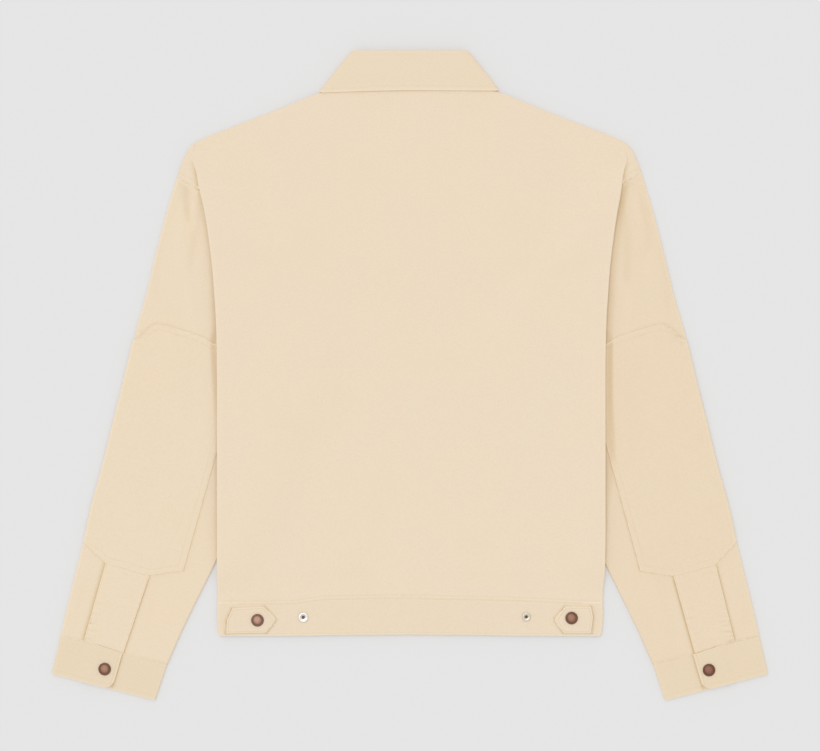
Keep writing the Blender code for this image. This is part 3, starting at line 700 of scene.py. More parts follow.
def band_relief(x, d):
    seam, run = near([(x0, d0 + SEAM) for x0, d0 in WAIST_LINE], x, d)
    hem, run_hem = near(HEM_LINE, x, d)
    relief = sewn(seam, (BAND_STITCHES[0],), 0.3, 0.1) + sewn(hem, (BAND_STITCHES[1],), 0.4, 0.1)
    relief += pucker(seam, run, 0.2, 11.0, 7.0, 31) + pucker(hem, run_hem, 0.16, 12.0, 7.0, 32)
    for place in [*WAIST_SNAPS.values(), *SPARE_STUDS.values()]:
        relief -= pressed_in(place, x, d, 0.25, 8.0)
    return relief


def band_wear_and_painted_light(x, d):
    # Painted light of the waistband: a pale rim and shaded stitch rows at its seam and hem, a pale
    # rolled side, partly rubbed and partly a painted highlight, a pale line below the seam near the
    # sides, and painted shade beside the tabs.
    seam, hem = near(WAIST_LINE, x, d)[0], near(HEM_LINE, x, d)[0]
    wear_and_painted_light = 0.7 * sewn_wear_and_painted_light(seam, (BAND_STITCHES[0],))
    wear_and_painted_light += 0.6 * sewn_wear_and_painted_light(hem, (BAND_STITCHES[1],), rim=2.4)
    wear_and_painted_light += rubbed_and_highlit(fold_at(d, x) - np.abs(x), 2.2, 0.9)
    wear_and_painted_light += 0.8 * bell(seam - 1.8, 1.2) * smooth(np.abs(x), 202.0, 212.0)
    for corners in TABS.values():
        wear_and_painted_light += shade_beside(x, d, (corners[1:4], 1.8, 1.0), (corners[4:] + corners[:1], 1.8, 1.0),
                             (corners[:2], 1.8, 0.2), (corners[3:5], 1.8, 0.4))
    return wear_and_painted_light


def make_waistband(finish):
    top = BAND_BACK + BAND
    x, d, drop = band_places(None, None)
    height = top + ((top + SEAM) / 2 - top) * drop + band_relief(x, d) * (1 - drop)
    cloth_grid("waistband_back", x, d, height, finish, BAND, wear_and_painted_light=band_wear_and_painted_light(x, d))
    for side, ends in (("left", (None, FRONT_LAP)), ("right", (-FRONT_LAP, None))):
        x, d, drop = band_places(*ends)
        level = BAND_LAP * smooth(-x, *LAP_FADE) if side == "right" else np.zeros(x.shape)
        height = level + ((top - SEAM) / 2 - level) * drop
        height += np.maximum(0.0, -band_relief(x, d)) * (1 - drop)
        cloth_grid(f"waistband_{side}", x, d, height, finish, BAND, flip=True)


# Sleeves.

FOLD_TROUGH = {"left": (1, 9.5), "right": (0.5, 15)}    # depth, half width of the sleeves' dip
FOLD_SHADE = {
    # down, then the painted shade's strength, half width and distance from the fold
    "left": ((160, 0.30, 4, 0), (240, 0.10, 4, 0), (330, 0.40, 5, 0),
             (350, 0.85, 3.4, 4.6), (385, 0.70, 3.4, 3.6), (440, 0.30, 3.5, 0),
             (470, 0.25, 2.6, 0), (570, 0.10, 3, 0), (640, 0, 3, 0)),
    "right": ((160, 0.80, 7.5, 0), (205, 0.60, 7.5, 0), (238, 0.40, 9, 0),
              (335, 0.45, 7, 1), (352, 0.95, 3.5, 5.3), (420, 0.85, 4, 5.2),
              (479, 0.60, 5.5, 6.4), (520, 0.30, 5, 4), (560, 0.10, 4, 0),
              (640, 0, 4, 0)),
}


def sleeve_edges(side):
    armhole = ARMHOLE_LOWER + ARMHOLE_UPPER[side]
    downs = np.linspace(armhole[-1][1] - UNDER, OUTLINE[-1][0] + UNDER / 2, 60)
    inset = PATCH_INSET * smooth(downs, 341.0, 348.0) * smooth(-downs, -592.0, -585.0)
    outer = np.stack((read(OUTLINE, downs) - inset, downs), axis=1).tolist()
    foot = [(x, d + UNDER / 2) for x, d in reversed(CUFF_SEAM)]
    inner = [(x, d) for d, x in SLEEVE_INNER[:-1]] + [foot[0]]
    top = [inner[0]] + [(x, d - UNDER) for x, d in armhole[1:-1]] + [outer[0]]
    foot[-1] = outer[-1]
    return top, foot, inner, outer


def patch_edges(side):
    downs = np.linspace(PATCH_TOP[-1][1], PATCH_FOOT[side][-1][1], 40)
    outer = np.stack((read(OUTLINE, downs), downs), axis=1).tolist()
    return (list(PATCH_TOP[:-1]) + [outer[0]], list(PATCH_FOOT[side][:-1]) + [outer[-1]],
            PATCH_INNER[side], outer)


def toward(edges, t, edge, gaps):
    """Places at distances inward from one end of each row."""
    pair = coons(edges, (edge, edge + (0.03 if edge < 0.5 else -0.03)), t)
    step = pair[:, 1] - pair[:, 0]
    step /= np.hypot(step[:, 0], step[:, 1])[:, None]
    return pair[:, :1] + step[:, None] * np.asarray(gaps)[None, :, None]


def sleeve_relief(x, d, side):
    """Relief that a sleeve and what is sewn on it share; x is always positive."""
    seed = 40 if side == "left" else 50
    relief = creased(SLEEVE_CREASES[side], x, d)
    relief += ripple(x, d, 120.0, 0.14, seed) + ripple(x, d, 38.0, 0.035, seed + 1)
    for line, height, wave, reach, step in (
            (PATCH_TOP, 0.5, 7.5, 10.0, 2), (CUFF_SEAM, 0.4, 12.0, 10.0, 3),
            (PATCH_INNER[side], 0.3, 11.0, 8.0, 5), (PATCH_FOOT[side], 0.3, 11.0, 8.0, 6)):
        relief += pucker(*near(line, x, d), height, wave, reach, seed + step)
    gap, run = near(ARMHOLE_UPPER[side], x, d)
    relief += pucker(gap, run, 0.9, 8.0, 9.0, 21 + SIGN[side]) + 0.75 * bell(gap, 9.0)
    corner = ARMHOLE_UPPER[side][0]
    relief += 0.5 * bell(np.hypot(x - corner[0], d - corner[1] - 3.0), 5.0)
    deep, width = FOLD_TROUGH[side]
    reach = smooth(-d, -640.0, -560.0) * smooth(d, 166.0, 194.0)
    return relief - deep * reach * bell(x - fold_at(d, SIGN[side]), width)


def creased_light_and_shade(x, d, side):
    """The creases' faint painted light and shade, and that of the wrinkles at the armhole."""
    gap, run = near(ARMHOLE_UPPER[side], x, d)
    wrinkles = pucker(gap, run + 0.8 * gap, 0.5, 7.0, 9.0, 23)
    loud = 0.25 + 1.05 * smooth(-d, -370.0, -300.0)
    return loud * creased(SLEEVE_CREASES[side], x, d) + wrinkles


def fold_shade(x, d, side):
    """Painted shade beside the body's side fold."""
    downs, *rows = np.array(FOLD_SHADE[side]).T
    strength, width, centre = (np.interp(d, downs, row) for row in rows)
    return -strength * np.exp(-((x - fold_at(d, SIGN[side]) - centre) / width) ** 4)


def in_patch(x, d, side):
    return ((x > straight([(down, across) for across, down in PATCH_INNER[side]], d))
            & (d > straight(PATCH_TOP, x)) & (d < straight(PATCH_FOOT[side], x)))


def sleeve_wear_and_painted_light(x, d, side):
    """Painted shade that the pieces over a sleeve and the body's fold cast on it, the painted light
    and shade of its creases and armhole seam, and its pale outer edge, partly rubbed and partly a
    painted highlight.
    """
    outer, inner = ((3.2, 1.0), (2.0, 0.9)) if side == "left" else ((2.0, 1.0), (2.0, 1.4))
    wear_and_painted_light = shaded(patch_gap(x, d, side), 1.8, 0.25) + shade_beside(
        x, d, (CUFF_SEAM, 1.8, 0.2), (PATCH_INNER[side], 1.3, 0.6),
        (PLACKET_OUTER[side], *outer), (PLACKET_INNER[side], *inner))
    gap, run = near(ARMHOLE_UPPER[side], x, d)
    wear_and_painted_light += (0.5 + 0.4 * np.sin(0.9 * run)) * sewn_wear_and_painted_light(gap, dip=0.3) + creased_light_and_shade(x, d, side)
    return wear_and_painted_light + rubbed_and_highlit(read(OUTLINE, d) - x) + fold_shade(x, d, side)


def make_sleeve(side, finish):
    edges = sleeve_edges(side)
    size = length_of(edges[2])
    for layer, spacing, columns in (("back", SPACING - 0.4, 72), ("front", 4.5, 30)):
        t = lines_between(size, (0.0, 1.0, 2.2, 3.5), NEAR_EDGE[:10], spacing) / size
        s = np.linspace(0.045, 0.955, columns)
        inner = toward(edges, t, 0.0, NEAR_ROLL)
        outer = toward(edges, t, 1.0, NEAR_ROLL)[:, ::-1]
        places = np.concatenate((inner, coons(edges, s, t), outer), axis=1)
        drop = np.concatenate((rolled(NEAR_ROLL), np.zeros(len(s)), rolled(NEAR_ROLL)[::-1]))
        x, d = places[..., 0], places[..., 1]
        relief, high = sleeve_relief(x, d, side), sleeve_height(d)
        if layer == "back":
            wear_and_painted_light, rests_on = sleeve_wear_and_painted_light(x, d, side), [f"sleeve_front_{side}"]
            beside_patch = bell(patch_gap(x, d, side), np.where(in_patch(x, d, side), 1.2, 6.0))
            relief += beside_patch * (0.95 + 0.07 * top_fade(x, d))
            under_back = smooth(straight(ARMHOLE_UPPER[side], x) - d, 0.2, 1.8)
            relief -= np.where(x > 248.0, 0.4 * under_back, 0.0)
            height = high + relief * (1 - drop) + (high / 2 + SEAM / 2 - high) * drop
        else:
            wear_and_painted_light, rests_on = None, []
            height = (high / 2 - SEAM / 2) * drop + (0.1 + np.abs(0.5 * relief)) * (1 - drop)
        cloth_grid(f"sleeve_{layer}_{side}", SIGN[side] * x, d, height, finish, CLOTH,
                   flip=(layer == "front") != (side == "left"), round_off=0.0, wear_and_painted_light=wear_and_painted_light)


def patch_gap(x, d, side):
    """Distance from the sewn edges of the elbow patch."""
    return np.minimum.reduce([near(line, x, d)[0] for line in
                              (PATCH_TOP, PATCH_INNER[side], PATCH_FOOT[side])])


def patch_height(x, d, side):
    height = sleeve_height(d) + SEAM + CLOTH + sleeve_relief(x, d, side)
    gap = patch_gap(x, d, side)
    uneven = 0.6 + 0.4 * ripple(x, d, 22.0, 1.0, 45)
    height += uneven * pucker(gap, x + 0.5 * d, 0.12, 5.5, 7.5, 46)
    return height + sewn(gap, STITCH_ROWS, 0.35, 0.08)


def top_fade(x, d):
    """Share of the patch's top seam that has faded, towards its outer end."""
    return np.where(d < 352.0, smooth(x, 262.0, 305.0), 0.0)


def make_patch(side, finish):
    edges = patch_edges(side)
    size = length_of(PATCH_INNER[side])
    t = lines_between(size) / size
    s = lines_between(PATCH_WIDTH, NEAR_EDGE, (0.0, 5.2), 1.6) / PATCH_WIDTH
    s = s[s < 0.955]
    outer = toward(edges, t, 1.0, 1.5 * np.array(NEAR_ROLL))[:, ::-1]
    places = np.concatenate((coons(edges, s, t), outer), axis=1)
    drop = np.concatenate((np.zeros(len(s)), rolled(NEAR_ROLL)[::-1]))
    x, d = places[..., 0], places[..., 1]
    height = patch_height(x, d, side) * (1 - drop) + (SLEEVE_TOP + SEAM) / 2 * drop
    # Painted light: a pale rim and shaded stitch rows at the sewn edges, the creases' light and
    # shade, a pale outer edge, partly rubbed and partly a painted highlight, and painted shade
    # beside the fold.
    seam = sewn_wear_and_painted_light(patch_gap(x, d, side), rim=1.5, dip=0.22) * (1 - 0.7 * top_fade(x, d))
    wear_and_painted_light = seam * (0.8 + 0.5 * ripple(x, d, 14.0, 1.0, 47)) + creased_light_and_shade(x, d, side)
    wear_and_painted_light += rubbed_and_highlit(read(OUTLINE, d) - x, 2.4) + fold_shade(x, d, side)
    cloth_grid(f"elbow_patch_{side}", SIGN[side] * x, d, height, finish, CLOTH,
               flip=side == "left", wear_and_painted_light=wear_and_painted_light)


def make_placket(side, finish):
    """The sleeve opening's strip, tucked under the patch and the cuff at its ends."""
    s = lines_between(PLACKET_WIDTH, spacing=2.6) / PLACKET_WIDTH
    near_end = (0.0, 0.01, 0.03)
    t = np.concatenate(([-0.03, -0.015], lines_between(1.0, near_end, near_end, 0.024),
                        [1.015, 1.03]))
    lines = (PLACKET_INNER[side], 0.3, 48), (PLACKET_OUTER[side], 0.9, 49)
    inner, outer = (np.array(start) + np.outer(t, np.subtract(end, start))
                    for (start, end), _, _ in lines)
    places = inner[:, None] + (outer - inner)[:, None] * s[None, :, None]
    x, d = places[..., 0], places[..., 1]
    gap = np.minimum(*(near(line, x, d)[0] for line, _, _ in lines))
    patch = near(PATCH_FOOT[side], x, d)[0]
    tucked = np.maximum(bell(patch, 2.6), (t < 0.0)[:, None])
    height = SLEEVE_TOP + SEAM + CLOTH + sleeve_relief(x, d, side) + sewn(gap, (1.6,), 0.45, 0.16)
    height -= 0.5 * tucked + np.where(t > 1.0, 0.7, 0.0)[:, None]
    # Painted light: a pale rim and shaded stitch rows at the edges, painted shade beside the patch,
    # and the wrinkles' painted light and shade.
    wear_and_painted_light = sewn_wear_and_painted_light(gap, (1.6,)) + shaded(patch, 1.8, 0.2)
    for line, loud, seed in lines:
        wrinkles = pucker(*near(line, x, d), loud, 6.5, 9.0, seed)
        height += 0.7 * wrinkles
        wear_and_painted_light += 0.8 * wrinkles
    cloth_grid(f"sleeve_placket_{side}", SIGN[side] * x, d, height, finish, CLOTH,
               flip=side == "left", wear_and_painted_light=wear_and_painted_light)


# Cuffs.

LAP_CORNER = 10.0       # radius of the lap's lower corner


def lap_line(side):
    """The lap's end, from the cuff's seam to its outer edge."""
    lap = CUFF_LAP[side]
    return [tuple(along(CUFF_SEAM, lap)), tuple(along(CUFF_EDGE, lap))]


def cuff_relief(x, d, side, over):
    """Relief of the cuff; over is the end that laps over the rest."""
    seam, run = near(CUFF_SEAM, x, d)
    edge, run_edge = near(CUFF_EDGE, x, d)
    relief = sewn(seam, (1.6,), 0.25, 0.08) + sewn(edge, (6.0,), 0.0, 0.05)
    relief += pucker(seam, run, 0.35, 10.0, 8.0, 61) + pucker(edge, run_edge, 0.2, 12.0, 8.0, 62)
    relief += ripple(x, d, 60.0, 0.08, 63 if side == "left" else 64)
    if over:
        relief += sewn(near(lap_line(side), x, d)[0], (LAP_STITCHES,), 0.3, 0.14)
    snap = (abs(CUFF_SNAPS[side][0]), CUFF_SNAPS[side][1])
    return relief - pressed_in(snap, x, d, 0.3, 8.5)


def cuff_wear_and_painted_light(x, d, side, over):
    # Painted light: pale rims and shaded stitch rows at the seam and edge, pale ends, partly rubbed
    # and partly a painted highlight, and at the lap's end a sewn rim on the lap and painted shade
    # beside it.
    wear_and_painted_light = 0.5 * sewn_wear_and_painted_light(near(CUFF_SEAM, x, d)[0], (1.6,))
    wear_and_painted_light += 0.25 * sewn_wear_and_painted_light(near(CUFF_EDGE, x, d)[0], (6.0,), rim=4.0)
    for end in (0, -1):
        wear_and_painted_light += rubbed_and_highlit(near([CUFF_SEAM[end], CUFF_EDGE[end]], x, d)[0])
    gap = near(lap_line(side), x, d)[0]
    return wear_and_painted_light + (sewn_wear_and_painted_light(gap, (LAP_STITCHES,)) if over else shaded(gap, 2.0, 0.9))


def cuff_path(side):
    """Sections of the cuff: share of its width, height, share of its depth, relief."""
    half, width = CUFF / 2, math.dist(*CUFF_EDGE)
    lap = CUFF_LAP[side]
    lap_end = lap - CUFF_UNDERLAP
    path = []
    for gap in (0.0, 0.4, 0.9, 1.6, 2.4, 3.0, 3.8, 5.0, 6.6, 8.4, 10.0):
        rise = LAP_CORNER - math.sqrt(LAP_CORNER ** 2 - (LAP_CORNER - gap) ** 2)
        path.append((lap - gap / width, CUFF_OVER, 1.0 - rise / CUFF_DEPTH, 1.0))
    for u in np.linspace(lap - 13.0 / width, 0.1, 26):
        drop = smooth(lap_end - u, 0.02, 0.15)
        path.append((u, CUFF_OVER + (CUFF_UPPER - CUFF_OVER) * drop, 1.0, 1.0))
    path += [(u, CUFF_UPPER, 1.0, fade) for u, fade in ((0.08, 1.0), (0.06, 0.8), (0.035, 0.4))]
    for edge, start, finish_z, turn in ((0.0, CUFF_UPPER, half, 1), (1.0, half, CUFF_TUCKED, -1)):
        radius, middle = abs(finish_z - start) / 2, (start + finish_z) / 2
        for degrees in range(90, -91, -15):
            angle = math.radians(degrees) * (1 if start > finish_z else -1)
            reach = (half + radius * (1 - math.cos(angle))) / width
            path.append((edge + reach * turn, middle + radius * math.sin(angle), 1.0, 0.0))
        if edge == 0.0:
            path += [(u, half, 1.0, 0.0) for u in np.linspace(0.06, 0.94, 24)]
    path += [(u, CUFF_TUCKED, 1.0, fade) for u, fade in ((0.965, 0.4), (0.94, 0.8))]
    path += [(u, CUFF_TUCKED, 1.0, 1.0) for u in np.linspace(0.92, lap_end + 0.01, 26)]
    return np.array(path)


def make_cuff(side, finish):
    path = cuff_path(side)
    v = lines_between(CUFF_DEPTH, NEAR_EDGE[:8], NEAR_EDGE[:12]) / CUFF_DEPTH
    top = along(CUFF_SEAM, path[:, 0])
    low = np.array(CUFF_EDGE[0]) + np.outer(path[:, 0], np.subtract(CUFF_EDGE[1], CUFF_EDGE[0]))
    reach = v[:, None] * path[None, :, 2]
    places = top[None] + (low - top)[None] * reach[..., None]
    x, d = places[..., 0], places[..., 1]
    over = (path[:, 1] > CUFF_UPPER + 0.5)[None]
    relief, wear_and_painted_light = (np.where(over, shape(x, d, side, True), shape(x, d, side, False))
                    for shape in (cuff_relief, cuff_wear_and_painted_light))
    height = path[None, :, 1] + relief * path[None, :, 3]
    cloth_grid(f"cuff_{side}", SIGN[side] * x, d, height, finish, CUFF,
               offset=0.0, round_off=0.7, wear_and_painted_light=wear_and_painted_light)


# Collar.

CORNER_REACH = 1.5      # the side roll ends this much further along the side


def collar_half(outer_corner, outer_front, outer_centre):
    """Sections of the right half, from the centre of the back to the front edge.

    Each has a place on the fold line, a place on the outer edge and a turn; the way out of the
    side roll follows.  The turn is 90 degrees on the back and -90 in front.
    """
    slant = np.subtract(FALL_CORNER, FOLD_CORNER)
    down_side = slant / math.hypot(*slant)
    way = np.array((down_side[1], -down_side[0]))
    rim = COLLAR / 2
    shift = way * (FALL_OUT + rim)
    corner_out = np.array((outer_corner[0] - shift[0], outer_corner[1]))
    side_in = np.array(FOLD_CORNER) - shift
    corner_in = side_in - down_side * (side_in[1] - rim) / down_side[1]
    sections = []
    for share in np.linspace(0.0, 1.0, 30)[1:-1]:
        sag = outer_centre + (corner_out[1] - outer_centre) * share ** 1.5
        sections.append(((corner_in[0] * share, rim), (corner_out[0] * share, sag), 90.0))
    for turn in np.arange(90.0, -90.0, -15.0):
        side_on = math.cos(math.radians(turn))
        sections.append((corner_in + (side_in - corner_in) * side_on,
                         corner_out + down_side * CORNER_REACH * side_on, turn))
    outer = np.array([corner_out, *outer_front])
    steps = np.linspace(0.0, 1.0, len(outer))
    for share in np.linspace(0.0, 1.0, 42):
        far = [np.interp(share, steps, outer[:, k]) for k in (0, 1)]
        sections.append((corner_in + (np.array(LEAF_FRONT) - corner_in) * share, far, -90.0))
    fold, far, turn = (np.array(part, float) for part in zip(*sections))
    return fold, far, np.radians(turn), np.array([way] * len(sections))


def collar_stations(corners, outer_front, outer_centre):
    """Sections from the left front, round the neck, to the right front."""
    left, right = (collar_half(corners[side], outer_front, outer_centre) for side, _ in SIDES)
    flip = np.array((-1.0, 1.0))
    return tuple(np.concatenate((one[::-1] * (flip if one.ndim > 1 else 1.0), other))
                 for one, other in zip(left, right))


def collar_strip(node, stations, out, relief_at, finish):
    """A strip between the fold line and its outer edge, rolled to its seam at the fold line."""
    fold, far, turn, way = stations
    to_seam = math.copysign(1.0, out - FOLD_OUT)
    edge = FOLD_OUT + to_seam * SEAM / 2
    size = np.hypot(*(far - fold).T)
    scale = np.minimum(1.0, size / 16.0)
    last = np.array(NEAR_EDGE[:11])[::-1]
    start, stop = 2.4 * scale, size - last[0] * scale
    rows = [gap * scale for gap in (0.0, 0.05, 0.2, 0.5, 0.9, 1.4, 2.4)]
    rows += [start + (stop - start) * share for share in np.linspace(0.0, 1.0, 13)[1:-1]]
    rows += [size - gap * scale for gap in last]
    gaps = np.array(rows)
    places = fold[None] + (far - fold)[None] * (gaps / size)[..., None]
    bend = np.sqrt(1.0 - (1.0 - np.clip(gaps / 1.4, 0.0, 1.0)) ** 2)
    level = edge + (out - edge) * bend
    level = level + to_seam * relief_at(places, size - gaps, turn)
    places = places + way[None] * (level * np.cos(turn))[..., None]
    # Its painted light: a pale rim and a shaded stitch row along the outer edge.
    cloth_grid(node, places[..., 0], places[..., 1], COLLAR_MID + level * np.sin(turn), finish,
               COLLAR, offset=0.0, round_off=0.7,
               wear_and_painted_light=0.6 * sewn_wear_and_painted_light(size - gaps, (5.6,), rim=2.2))


def fall_relief(places, gap, turn):
    x, d = places[..., 0], places[..., 1]
    relief = sewn(gap, (5.6,), 0.25, 0.08) - 0.9 * bell(gap, 14.0)
    relief += pucker(gap, x + 0.4 * d, 0.1, 12.0, 9.0, 71) + ripple(x, d, 70.0, 0.12, 72)
    front = near([LEAF_FRONT, LEAF_POINT], np.abs(x), d)[0]
    leaf = (turn < -1.5)[None]
    return np.where(leaf, np.minimum(relief + sewn(front, (5.6,), 0.2, 0.13), 0.0), relief)


def stand_relief(places, gap, turn):
    return 0.5 * ripple(places[..., 0], places[..., 1], 60.0, 0.1, 73)


def make_collar(finish):
    leaf = [np.array(FALL_CORNER) + np.subtract(LEAF_POINT, FALL_CORNER) * share
            for share in (0.33, 0.67, 1.0)]
    fall = collar_stations(FALL_CORNERS, leaf, FALL_MIDDLE)
    collar_strip("collar_fall", fall, FALL_OUT, fall_relief, finish)
    neck_ends = {"left": NECK_SEAM[0], "right": NECK_SEAM[0]}
    stand = collar_stations(neck_ends, NECK_SEAM[1:], NECK_BACK)
    collar_strip("collar_stand", stand, STAND_OUT, stand_relief, finish)


# Tabs and trims.

def tab_height(side, gap, x, d):
    relief = sewn(gap, (2.4,), 0.5, 0.2) + 0.2 * bell(gap - 1.0, 0.6)
    relief -= pressed_in(WAIST_SNAPS[side], x, d, 0.25, 8.5)
    for line in (TABS[side][:2], TABS[side][3:5]):
        relief -= 0.9 * bell(near(line, x, d)[0], 1.6)
    return BAND_BACK + BAND + SEAM + BAND + relief + ripple(x, d, 30.0, 0.1, 81)


def make_tab(side, finish):
    """A pointed tab on the waistband."""
    base_top, shoulder_top, tip, shoulder_foot, base_foot, base_middle = TABS[side]
    top = (base_top, shoulder_top, (tip[0], tip[1] - 0.4))
    foot = (base_foot, shoulder_foot, (tip[0], tip[1] + 0.4))
    edges = (top, foot, (base_top, base_middle, base_foot), (top[-1], foot[-1]))
    size = length_of(top)
    turns = [math.dist(line[0], line[1]) / length_of(line) for line in (top, foot)]
    s = np.union1d(lines_between(size, NEAR_EDGE[:8], NEAR_EDGE[:8], 2.0) / size, turns)
    t = lines_between(TAB_WIDTH, NEAR_EDGE[:8], NEAR_EDGE[:8], 2.0) / TAB_WIDTH
    places = coons(edges, s, t)
    x, d = places[..., 0], places[..., 1]
    gap = near(TABS[side] + TABS[side][:1], x, d)[0]
    # Painted light: a pale rim and a shaded stitch row along the tab's edge.
    cloth_grid(f"waist_tab_{side}", x, d, tab_height(side, gap, x, d), finish, BAND,
               flip=side == "right", round_off=0.5,
               wear_and_painted_light=sewn_wear_and_painted_light(gap, (2.4,)))


def lathe(name, profile, place, height, finish, upside_down=False, segments=64):
    """A round trim: a profile of (radius, height, painted light) turned about the vertical axis."""
    radius, up, wear_and_painted_light = np.array(profile).T
    angles = np.linspace(0.0, 2 * math.pi, segments, endpoint=False)
    level = height + up * (-1 if upside_down else 1)
    points = np.stack((place[0] + np.outer(radius, np.cos(angles)),
                       place[1] - np.outer(radius, np.sin(angles)),
                       np.repeat(level[:, None], segments, axis=1)), axis=-1)
    a = np.arange(segments) + segments * np.arange(len(profile) - 1)[:, None]
    b = np.roll(a, -1, axis=1)
    quads = np.stack((a, a + segments, b + segments, b), axis=-1).reshape(-1, 4)
    faces = (quads if upside_down else quads[:, ::-1]).tolist()
    return mesh_piece(f"{name}_metal", points.reshape(-1, 3), faces, finish,
                      np.repeat(wear_and_painted_light, segments))


# Profiles of the trims: radius, height and painted light, 1 a painted highlight and -1 painted
# shade.
CAP_PROFILE = (
    (0.02, 1.72, 1), (1.6, 1.71, 0.9), (3.2, 1.64, 0.6), (4.4, 1.52, 0.1), (5.1, 1.38, -0.3),
    (5.45, 1.22, -0.7), (5.7, 1.16, -0.9), (5.95, 1.22, -0.7), (6.3, 1.30, -0.3),
    (6.75, 1.24, -0.4), (7.15, 1.02, -0.7), (7.42, 0.7, -1), (7.5, 0.35, -1),
    (7.4, 0, -1), (0.02, 0, -1),
)
FLAT_PROFILE = (
    (0.02, 0.66, 1), (3, 0.65, 0.6), (5, 0.6, 0), (5.5, 0.5, -0.8), (5.8, 0.5, -0.8),
    (6.2, 0.6, -0.2), (6.9, 0.55, -0.4), (7.4, 0.35, -1), (7.5, 0.12, -1),
    (7.4, 0, -1), (0.02, 0, -1),
)
STUD_PROFILE = (
    (0.02, 0.25, -1), (1.45, 0.25, -1), (1.65, 0.45, -0.9), (1.9, 0.7, -0.1),
    (2.4, 0.85, 0.3), (3.2, 0.9, 0.35), (3.8, 1, 0.6), (4.3, 1.1, 0.95), (4.9, 1.1, 1),
    (5.4, 0.95, 1), (5.75, 0.6, 1), (5.85, 0.25, 0.9), (5.8, 0, -0.2), (0.02, 0, -0.5),
)
STUD_SIZE = {"left": 1.0, "right": 0.86}


def make_trims(copper, steel):
    def stand(name, profile, place, height, finish, slot="copper", upside_down=False):
        piece = lathe(name, profile, place, height, finish, upside_down)
        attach(piece, "root")
        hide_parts(name)
    band_top = BAND_BACK + BAND
    for side, place in WAIST_SNAPS.items():
        stand(f"waist_snap_{side}", CAP_PROFILE, place, band_top + BAND + 2 * SEAM,
              copper[f"waist_{side}"])
    for side, place in SPARE_STUDS.items():
        profile = [(radius * STUD_SIZE[side], up, wear_and_painted_light) for radius, up, wear_and_painted_light in STUD_PROFILE]
        stand(f"waist_stud_{side}", profile, place, band_top + SEAM, steel[side], "steel")
    for side, place in CUFF_SNAPS.items():
        stand(f"cuff_snap_{side}", CAP_PROFILE, place, CUFF_OVER + CUFF / 2 + SEAM,
              copper[f"cuff_{side}"])
    for number, down in enumerate(FRONT_SNAPS, 1):
        low = float(front_height(np.array(0.0), np.array(down), -1)) - 0.15
        stand(f"front_snap_{number}", FLAT_PROFILE, (0.0, down), low, copper["waist_left"],
              upside_down=True)


# Stitches.

STITCH_PITCH, STITCH_LENGTH, STITCH_WIDTH, STITCH_HEIGHT = 3.2, 2.5, 0.62, 0.34
STITCH_SHAPE = ((-1.0, 0.0), (-0.72, 0.8), (0.0, 1.0), (0.72, 0.8), (1.0, 0.0))   # along, girth


def beside(line, gap, pitch=STITCH_PITCH):
    """Places at a distance to the right of a line, a stitch apart, and the way along it."""
    size = length_of(line)
    count = max(2, int(size / 0.8))
    dense = along(line, np.linspace(0.0, 1.0, count))
    way = np.gradient(dense, axis=0)
    kernel = np.ones(5) / 5
    if count > 12:
        padded = np.pad(way, ((2, 2), (0, 0)), mode="edge")
        way = np.stack([np.convolve(padded[:, k], kernel, "valid") for k in (0, 1)], axis=1)
    way /= np.hypot(way[:, 0], way[:, 1])[:, None]
    moved = dense + gap * np.stack((way[:, 1], -way[:, 0]), axis=1)
    total = length_of(moved)
    share = np.arange(0.5 * pitch, total, pitch) / total
    place = along(moved, share)
    ahead = along(moved, np.minimum(1.0, share + 0.5 / total))
    behind = along(moved, np.maximum(0.0, share - 0.5 / total))
    step = ahead - behind
    return place, step / np.maximum(np.hypot(step[:, 0], step[:, 1]), 1e-6)[:, None]


def stitch_ends(node, rows, keep=None, lift=0.0, from_above=True):
    """Ends of the stitches of rows (line, distance) on the outer surface of a node's cloth."""
    mesh = dressed[node].data
    tree = BVHTree.FromPolygons([v.co for v in mesh.vertices],
                                [p.vertices for p in mesh.polygons])
    start, way = (0.05, -1.0) if from_above else (-0.01, 1.0)
    ends = []
    for line, gap in rows:
        place, step = beside(line, gap)
        if keep is not None:
            held = keep(place[:, 0], place[:, 1], abs(gap))
            place, step = place[held], step[held]
        for middle, reach in zip(place, step * STITCH_LENGTH / 2):
            pair = []
            for at in (middle - reach, middle + reach):
                x, y, _ = world((at[0], at[1], 0.0))
                hit = tree.ray_cast((x, y, start), (0.0, 0.0, way))[0]
                if hit is not None:
                    pair.append((at[0], at[1], hit.z / MM - way * lift))
            if len(pair) == 2 and abs(pair[0][2] - pair[1][2]) < 1.0:
                ends.append(pair)
    return ends


